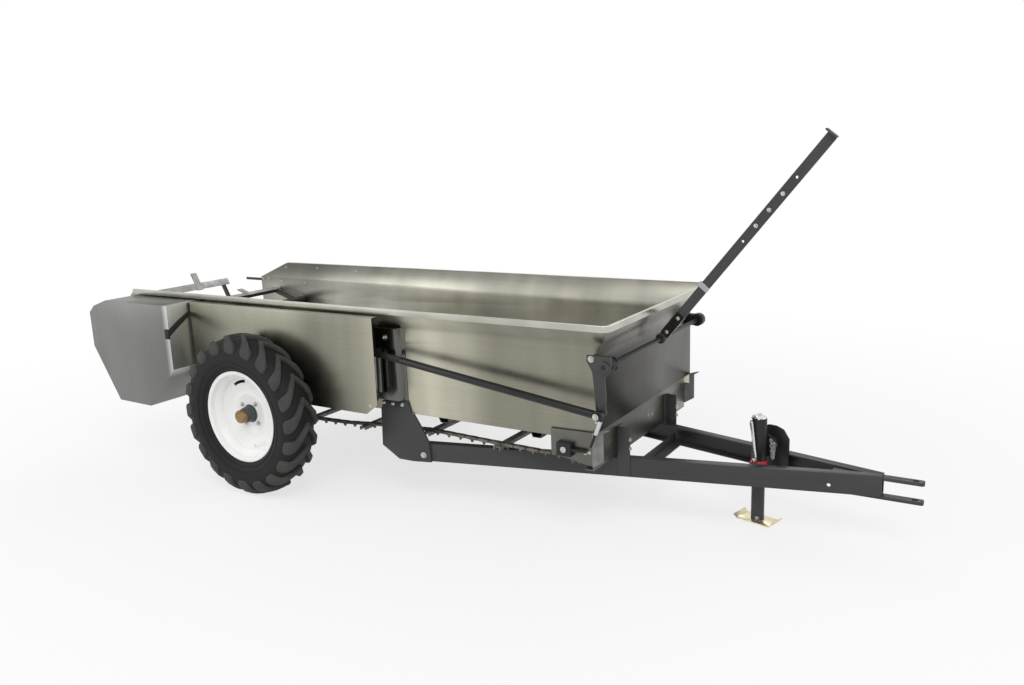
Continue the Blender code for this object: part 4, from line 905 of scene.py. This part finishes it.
# %% [markdown]
# Bolts have to sit on the sheet or bar that they hold. So the place of each one is found as a
# mechanic would find it: from a point outside, a line is sent towards the solid, and the bolt is
# set where the line meets it, standing up along the face there. A few sizes do for the machine.

# %% Seats on the solids
from mathutils.bvhtree import BVHTree

trees = {}


def seated(node, start, direction):
    """Point and outward normal where a line from start meets a solid; x counts from the axle."""
    if node not in trees:
        mesh = frame["nodes"][node].data
        corners = [corner.co for corner in mesh.vertices]
        trees[node] = BVHTree.FromPolygons(corners, [tuple(face.vertices) for face in mesh.polygons])
    origin = Vector((start[0] + AXLE_X, start[1], start[2]))
    place, normal, index, distance = trees[node].ray_cast(origin, Vector(direction))
    if place is None:
        print("no seat on", node, start)
        return None
    return place, (normal if normal.dot(Vector(direction)) < 0 else -normal)


def bolt_set(name, body, size, rows, stud=0.0, both_sides=True):
    """Bolts on the right side at the rows, and at their mirror images on the left."""
    places = []
    for node, (x, y, z), direction in rows:
        places.append(seated(node, (x, y, z), direction))
        if both_sides and node.endswith("_right"):
            across = (direction[0], -direction[1], direction[2])
            places.append(seated(node[:-5] + "left", (x, -y, z), across))
    places = [place for place in places if place]
    return set_out(name, body, bolt(size, size * 0.8, stud), places)


INWARD, BACK, ACROSS = (0, 1, 0), (-1, 0, 0), (0, -1, 0)
# Pins of the linkage, (x from the axle, z)
CRANK_PIN, CRANK_TOP, ROD_REAR = (1.652, 0.529), (1.618, 0.728), (0.621, 0.667)
bolt_set("frame_bolts", "chassis", 0.0062, [
    ("bracket_right", (0.601, -0.8, 0.4335), INWARD), ("bracket_right", (0.650, -0.8, 0.4335), INWARD),
    ("bracket_right", (0.7005, -0.8, 0.4335), INWARD), ("shield_right", (0.626, -0.8, 0.448), INWARD),
    ("upright_right", (1.8, -0.2445, 0.3475), BACK), ("upright_right", (1.8, -0.2445, 0.3105), BACK),
    ("box_side_right", (1.6080, -0.8, 0.630), INWARD), ("box_side_right", (1.6080, -0.8, 0.477), INWARD),
])
bolt_set("channel_bolts", "chassis", 0.0048, [
    ("front_channel", (1.8, 0.0455, 0.359), BACK), ("front_channel", (1.8, 0.088, 0.352), BACK),
    ("front_channel", (1.560, -0.8, 0.351), INWARD), ("front_channel", (1.577, -0.8, 0.356), INWARD),
    ("front_channel", (1.560, 0.8, 0.351), ACROSS), ("front_channel", (1.577, 0.8, 0.356), ACROSS),
])
bolt_set("frame_big_bolts", "chassis", 0.0092, [
    ("bracket_right", (0.790, -0.8, 0.220), INWARD), ("upright_right", (1.646, -0.8, 0.2255), INWARD),
    ("post_right", (0.650, -0.8, 0.7245), INWARD),
], stud=0.013)
bolt_set("crank_bolt", "control", 0.0085, [
    ("crank_arm", (x, -0.8, z), INWARD) for x, z in (CRANK_PIN, CRANK_TOP)
], stud=0.008, both_sides=False)
bolt_set("link_bolt", "link_rod", 0.0078, [
    ("link_rod", (ROD_REAR[0], -0.8, ROD_REAR[1]), INWARD),
], stud=0.010, both_sides=False)

# %% [markdown]
# Rivets hold what is fixed to the outside of the walls at the rear, and their round heads show
# on the inner face. A head is half of a sphere, flattened.

# %% Rivets on the walls
RIVETS = (
    (-0.375, 0.825), (-0.675, 0.8305), (-0.927, 0.827), (-0.739, 0.745),
    (-0.927, 0.7485), (-1.035, 0.762), (-1.086, 0.7595),
)
places = []
for x, z in RIVETS:
    places.append(seated("box_side_left", (x, 0, z), (0, 1, 0)))
    places.append(seated("box_side_right", (x, 0, z), (0, -1, 0)))
set_out("wall_rivets", "chassis", rivet(0.0052), [place for place in places if place])
print("rivets:", len(places))

# %% [markdown]
# The lever is a flat bar. Its foot is a steel plate on the shaft, and two bolts join the black
# bar to it. Higher up the bar has a row of five holes; three of them hold bolts. A bright clip
# is pushed over it lower down.

# %% Lever foot, lever bolts and clip
SHAFT = (AXLE_X + 1.672, 0.705)
LEVER_LEAN = math.radians(50.7)
LEVER_TURN = Matrix.Translation((SHAFT[0], 0, SHAFT[1])) @ Matrix.Rotation(-LEVER_LEAN, 4, "Y")
# distance of a bolt's middle along the lever, half thickness there
LEVER_BOLTS = ((0.036, 0.0067), (0.110, 0.0067), (0.585, 0.0040), (0.660, 0.0040), (0.735, 0.0040))


def along_lever(piece):
    piece.data.transform(LEVER_TURN)
    return piece


outline = [
    (0.016, -0.0175), (0.030, -0.0200), (0.128, -0.0200), (0.132, -0.0170),
    (0.132, 0.0170), (0.128, 0.0200), (0.030, 0.0200), (0.016, 0.0175),
]
foot = along_lever(flat_bar("lever_foot", outline, -0.0068, 0.0068, 0.0012))
finish_piece(foot, "control", "stainless_post", "bright_steel")
places = []
for sign in (-1, 1):
    for along, half in LEVER_BOLTS:
        places.append((LEVER_TURN @ Vector((along, sign * half, 0)), (0, sign, 0)))
set_out("lever_bolts", "control", bolt(0.0058, 0.0046), places)
outline = [
    (0.265, -0.0200), (0.288, -0.0200), (0.288, 0.0245),
    (0.284, 0.0275), (0.269, 0.0275), (0.265, 0.0245),
]
clip = along_lever(flat_bar("lever_clip", outline, -0.0062, 0.0062, 0.0012))
finish_piece(clip, "control", "bright_steel", "bright_steel")
print("lever pieces:", foot.name, clip.name)

# %% [markdown]
# A coil spring is a wire that follows a screw line. Its section is a small ring of points, which
# is set down again at each step, and faces are laid between each ring and the next.

# %% Springs beside the post
def coil(name, foot_of, top_of, radius, wire, turns, sides=6, steps=10):
    """A coil from foot to top; its wire has a many-sided section that follows the screw line."""
    axis = Vector(top_of) - Vector(foot_of)
    across = axis.orthogonal().normalized()
    side = axis.normalized().cross(across)
    rings = []
    for i in range(turns * steps + 1):
        angle = 2 * math.pi * i / steps
        out = across * math.cos(angle) + side * math.sin(angle)
        middle = Vector(foot_of) + axis * (i / (turns * steps)) + out * radius
        ring = []
        for k in range(sides):
            turn = 2 * math.pi * k / sides
            ring.append(middle + (out * math.cos(turn) + axis.normalized() * math.sin(turn)) * wire)
        rings.append(ring)
    return soften(tube_through(name, rings), 0, smooth=70)


def tube_through(name, rings):
    """A closed wire through many rings, built in one go on the first of them."""
    piece = ring_of_points(name, rings[0], "NGON")
    mesh = bmesh.new()
    mesh.from_mesh(piece.data)
    mesh.verts.ensure_lookup_table()
    last = list(mesh.verts)
    for ring in rings[1:]:
        new = [mesh.verts.new(point) for point in ring]
        for k in range(len(ring)):
            j = (k + 1) % len(ring)
            mesh.faces.new((last[k], last[j], new[j], new[k]))
        last = new
    mesh.faces.new(last)
    mesh.to_mesh(piece.data)
    mesh.free()
    return tidy_mesh(piece, 0.000001)


arm_low, arm_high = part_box("rear_arm")
spring_y = arm_low[1] - 0.004
COIL_R, WIRE_R, TURNS = 0.0046, 0.0011, 34
pair = []
for shift in (-0.009, 0.009):
    low = (AXLE_X + 0.618 + shift, spring_y, 0.515)
    high = (AXLE_X + 0.621 + shift, spring_y, 0.650)
    pair.append(coil("spring", low, high, COIL_R, WIRE_R, TURNS))
finish_piece(joined("arm_springs", pair), "rear_arm", "bright_steel", "bright_steel")
print("springs from", [round(v, 3) for v in arm_low], "to", [round(v, 3) for v in arm_high])

# %% [markdown]
# A short zinc chain hangs in a loop in front of the jack's swivel disc; it keeps the locking pin
# from being lost. A link is a ring pulled long, and every second one is turned about the run.
# The crank's arm is bent over the tube's head in a half ring, and a bolt head stands on the foot.

# %% Pin chain, crank head and foot bolt of the jack
def oval_link(length=0.0066, width=0.0042, wire=0.0011):
    deselect()
    bpy.ops.mesh.primitive_torus_add(
        major_segments=14, minor_segments=6, major_radius=width, minor_radius=wire)
    link = bpy.context.active_object
    for corner in link.data.vertices:
        corner.co.x += (length - width) * (1 if corner.co.x > 0 else -1)
    return soften(link, 0, smooth=70)


# The middle of the swivel and its turn about Z, as the solid model has them
SWIVEL_AT, SWIVEL_TURN = (AXLE_X + 2.0846, 0.0084, 0.305), math.radians(-13.78)
SWIVEL = Matrix.Translation(SWIVEL_AT) @ Matrix.Rotation(SWIVEL_TURN, 4, "Z")
DISC_FACE = 0.0275
# start and end (along the disc, up) from the swivel's middle, hang, number of links
PIN_CHAIN = (
    ((0.0215, 0.031), (0.0400, 0.015), 0.066, 20),
    ((0.0255, 0.027), (0.0350, 0.021), 0.042, 13),
)
pattern = oval_link()
links = []
for (x0, z0), (x1, z1), drop, count in PIN_CHAIN:
    for i in range(count):
        share = (i + 0.5) / count
        rise = z0 + (z1 - z0) * share - drop * math.sin(math.pi * share)
        slope = math.atan2(z1 - z0 - drop * math.pi * math.cos(math.pi * share), x1 - x0)
        roll = math.radians(90 * (i % 2) + 45)
        turn = Matrix.Rotation(-slope, 4, "Y") @ Matrix.Rotation(roll, 4, "X")
        here = Matrix.Translation((x0 + (x1 - x0) * share, DISC_FACE - 0.0055, rise))
        links.append(copied(pattern, SWIVEL @ here @ turn))
bpy.data.objects.remove(pattern)
finish_piece(joined("pin_chain", links), "jack", "bright_steel", "bright_steel")
# Middle of the crank's half ring in the swivel's frame (x, z), and its height over its width
ARCH_X, ARCH_Z, ARCH_RISE = -0.013, 0.118, 1.15
arch = []
for r, turns in ((0.0165, range(0, 181, 15)), (0.0120, range(180, -1, -15))):
    for angle in (math.radians(degrees) for degrees in turns):
        arch.append((ARCH_X + r * math.cos(angle), ARCH_Z + ARCH_RISE * r * math.sin(angle)))
crank_head = flat_bar("crank_head", arch, -0.040, -0.002, 0.0014)
crank_head.data.transform(SWIVEL)
finish_piece(crank_head, "jack", "crank_chrome", "crank_chrome")
FOOT_KNOB = (AXLE_X + 2.077, -0.020, 0.0185)
set_out("foot_knob", "jack_leg", bolt(0.0070, 0.0080), [(FOOT_KNOB, (0, 0, 1))])
print("pin chain links:", len(links))

# %% [markdown]
# In front of the channel a folded ear stands at each end. It is a thin stainless plate with a
# lip at the top, and it guards the tensioner of the moving floor.

# %% Ears of the front channel
EAR = [
    (1.5905, 0.3000), (1.6370, 0.3280), (1.6370, 0.4380),
    (1.6600, 0.4520), (1.6600, 0.4555), (1.5905, 0.4350),
]
EAR_INNER, EAR_OUTER = 0.4668, 0.4705
ears = []
for sign in (-1, 1):
    near, far = sorted((sign * EAR_OUTER, sign * EAR_INNER))
    ears.append(flat_bar("ear", [(x + AXLE_X, z) for x, z in EAR], near, far, 0.0006))
finish_piece(joined("channel_ears", ears), "chassis", "dull_zinc", "stainless")
print("ears at y:", EAR_INNER)

# %% [markdown]
# The control shaft runs in a cast bearing beside the right wall: a small foot on the wall and a
# round boss that is drilled for the shaft. The boss is spun from its section, bore and all.

# %% Control bearing
BORE_R, BOSS_R = 0.0101, 0.0245
outline = [
    (1.598, 0.682), (1.690, 0.682), (1.697, 0.692), (1.697, 0.722), (1.686, 0.731), (1.598, 0.731),
]
bearing_foot = flat_bar("foot", [(x + AXLE_X, z) for x, z in outline], -0.4683, -0.4604, 0.0015)
boss = [
    (-0.4675, BORE_R), (-0.4675, BOSS_R), (-0.4980, 0.0235),
    (-0.5015, 0.0215), (-0.5019, 0.0160), (-0.5019, BORE_R),
]
bearing_boss = soften(lathe("boss", boss, SHAFT, 40), 0, smooth=40)
bearing = joined("control_bearing_detailed", [bearing_foot, bearing_boss])
finish_piece(bearing, "chassis", "black_paint", "black_paint", "control_bearing_right")
print("bearing boss across:", 2 * BOSS_R)

# %% [markdown]
# Every other solid keeps its shape. Some are painted or worn in two finishes, and on two of the
# sheets the painted light and shade is kept to one face. So a second material goes on the faces
# that a small test picks out by their place or their normal.

# %% Dress every solid that keeps its shape
for node in sorted(frame["nodes"]):
    if node not in BUILT_LATER:
        dress(node)
print("dressed:", len(frame["nodes"]) - len(BUILT_LATER))


def second_finish(node, finish, belongs):
    mesh = bpy.data.objects[node + "_dressed"].data
    mesh.materials.append(finishes[finish])
    for face in mesh.polygons:
        if belongs(face.center, face.normal):
            face.material_index = 1
    return sum(face.material_index for face in mesh.polygons)


def leading_face(centre, normal):
    """The worn front faces of the beater's bars, away from its middle."""
    out = Vector((centre.x - BEATER[0], 0, centre.z - BEATER[1]))
    return out.length > 0.17 and abs(normal.dot(out.normalized())) < 0.5 and normal.x > 0.25


def spring_bar(centre, normal):
    return centre.y < -0.5085 and 0.5 < centre.z < 0.66


def link_end(centre, normal):
    """All of the short link but a bare stretch near the crank's pin."""
    return not 0.036 < (centre - crank_pin).length < 0.097


BEATER = (AXLE_X - 0.760, 0.640)
crank_pin = Vector((AXLE_X + CRANK_PIN[0], -0.494, CRANK_PIN[1]))
picked = [
    # The front panel's inner faces get the stainless without the painted shade of its outer face
    second_finish("box_front", "stainless_inner", lambda centre, normal: normal.x < -0.3),
    # The far wall's outer face gets the near wall's painted light in place of its own
    second_finish("box_side_left", "stainless", lambda centre, normal: normal.y > 0.3),
    second_finish("beater", "worn_bar", leading_face),
    second_finish("jack_leg", "frame_paint", lambda centre, normal: centre.z > 0.030),
    second_finish("jack_tube", "crank_chrome", lambda centre, normal: centre.z > 0.402),
    second_finish("rear_arm", "bright_steel", spring_bar),
    second_finish("short_link", "black_paint", link_end),
]
print("faces in a second finish:", picked)

# %% Import json
import json
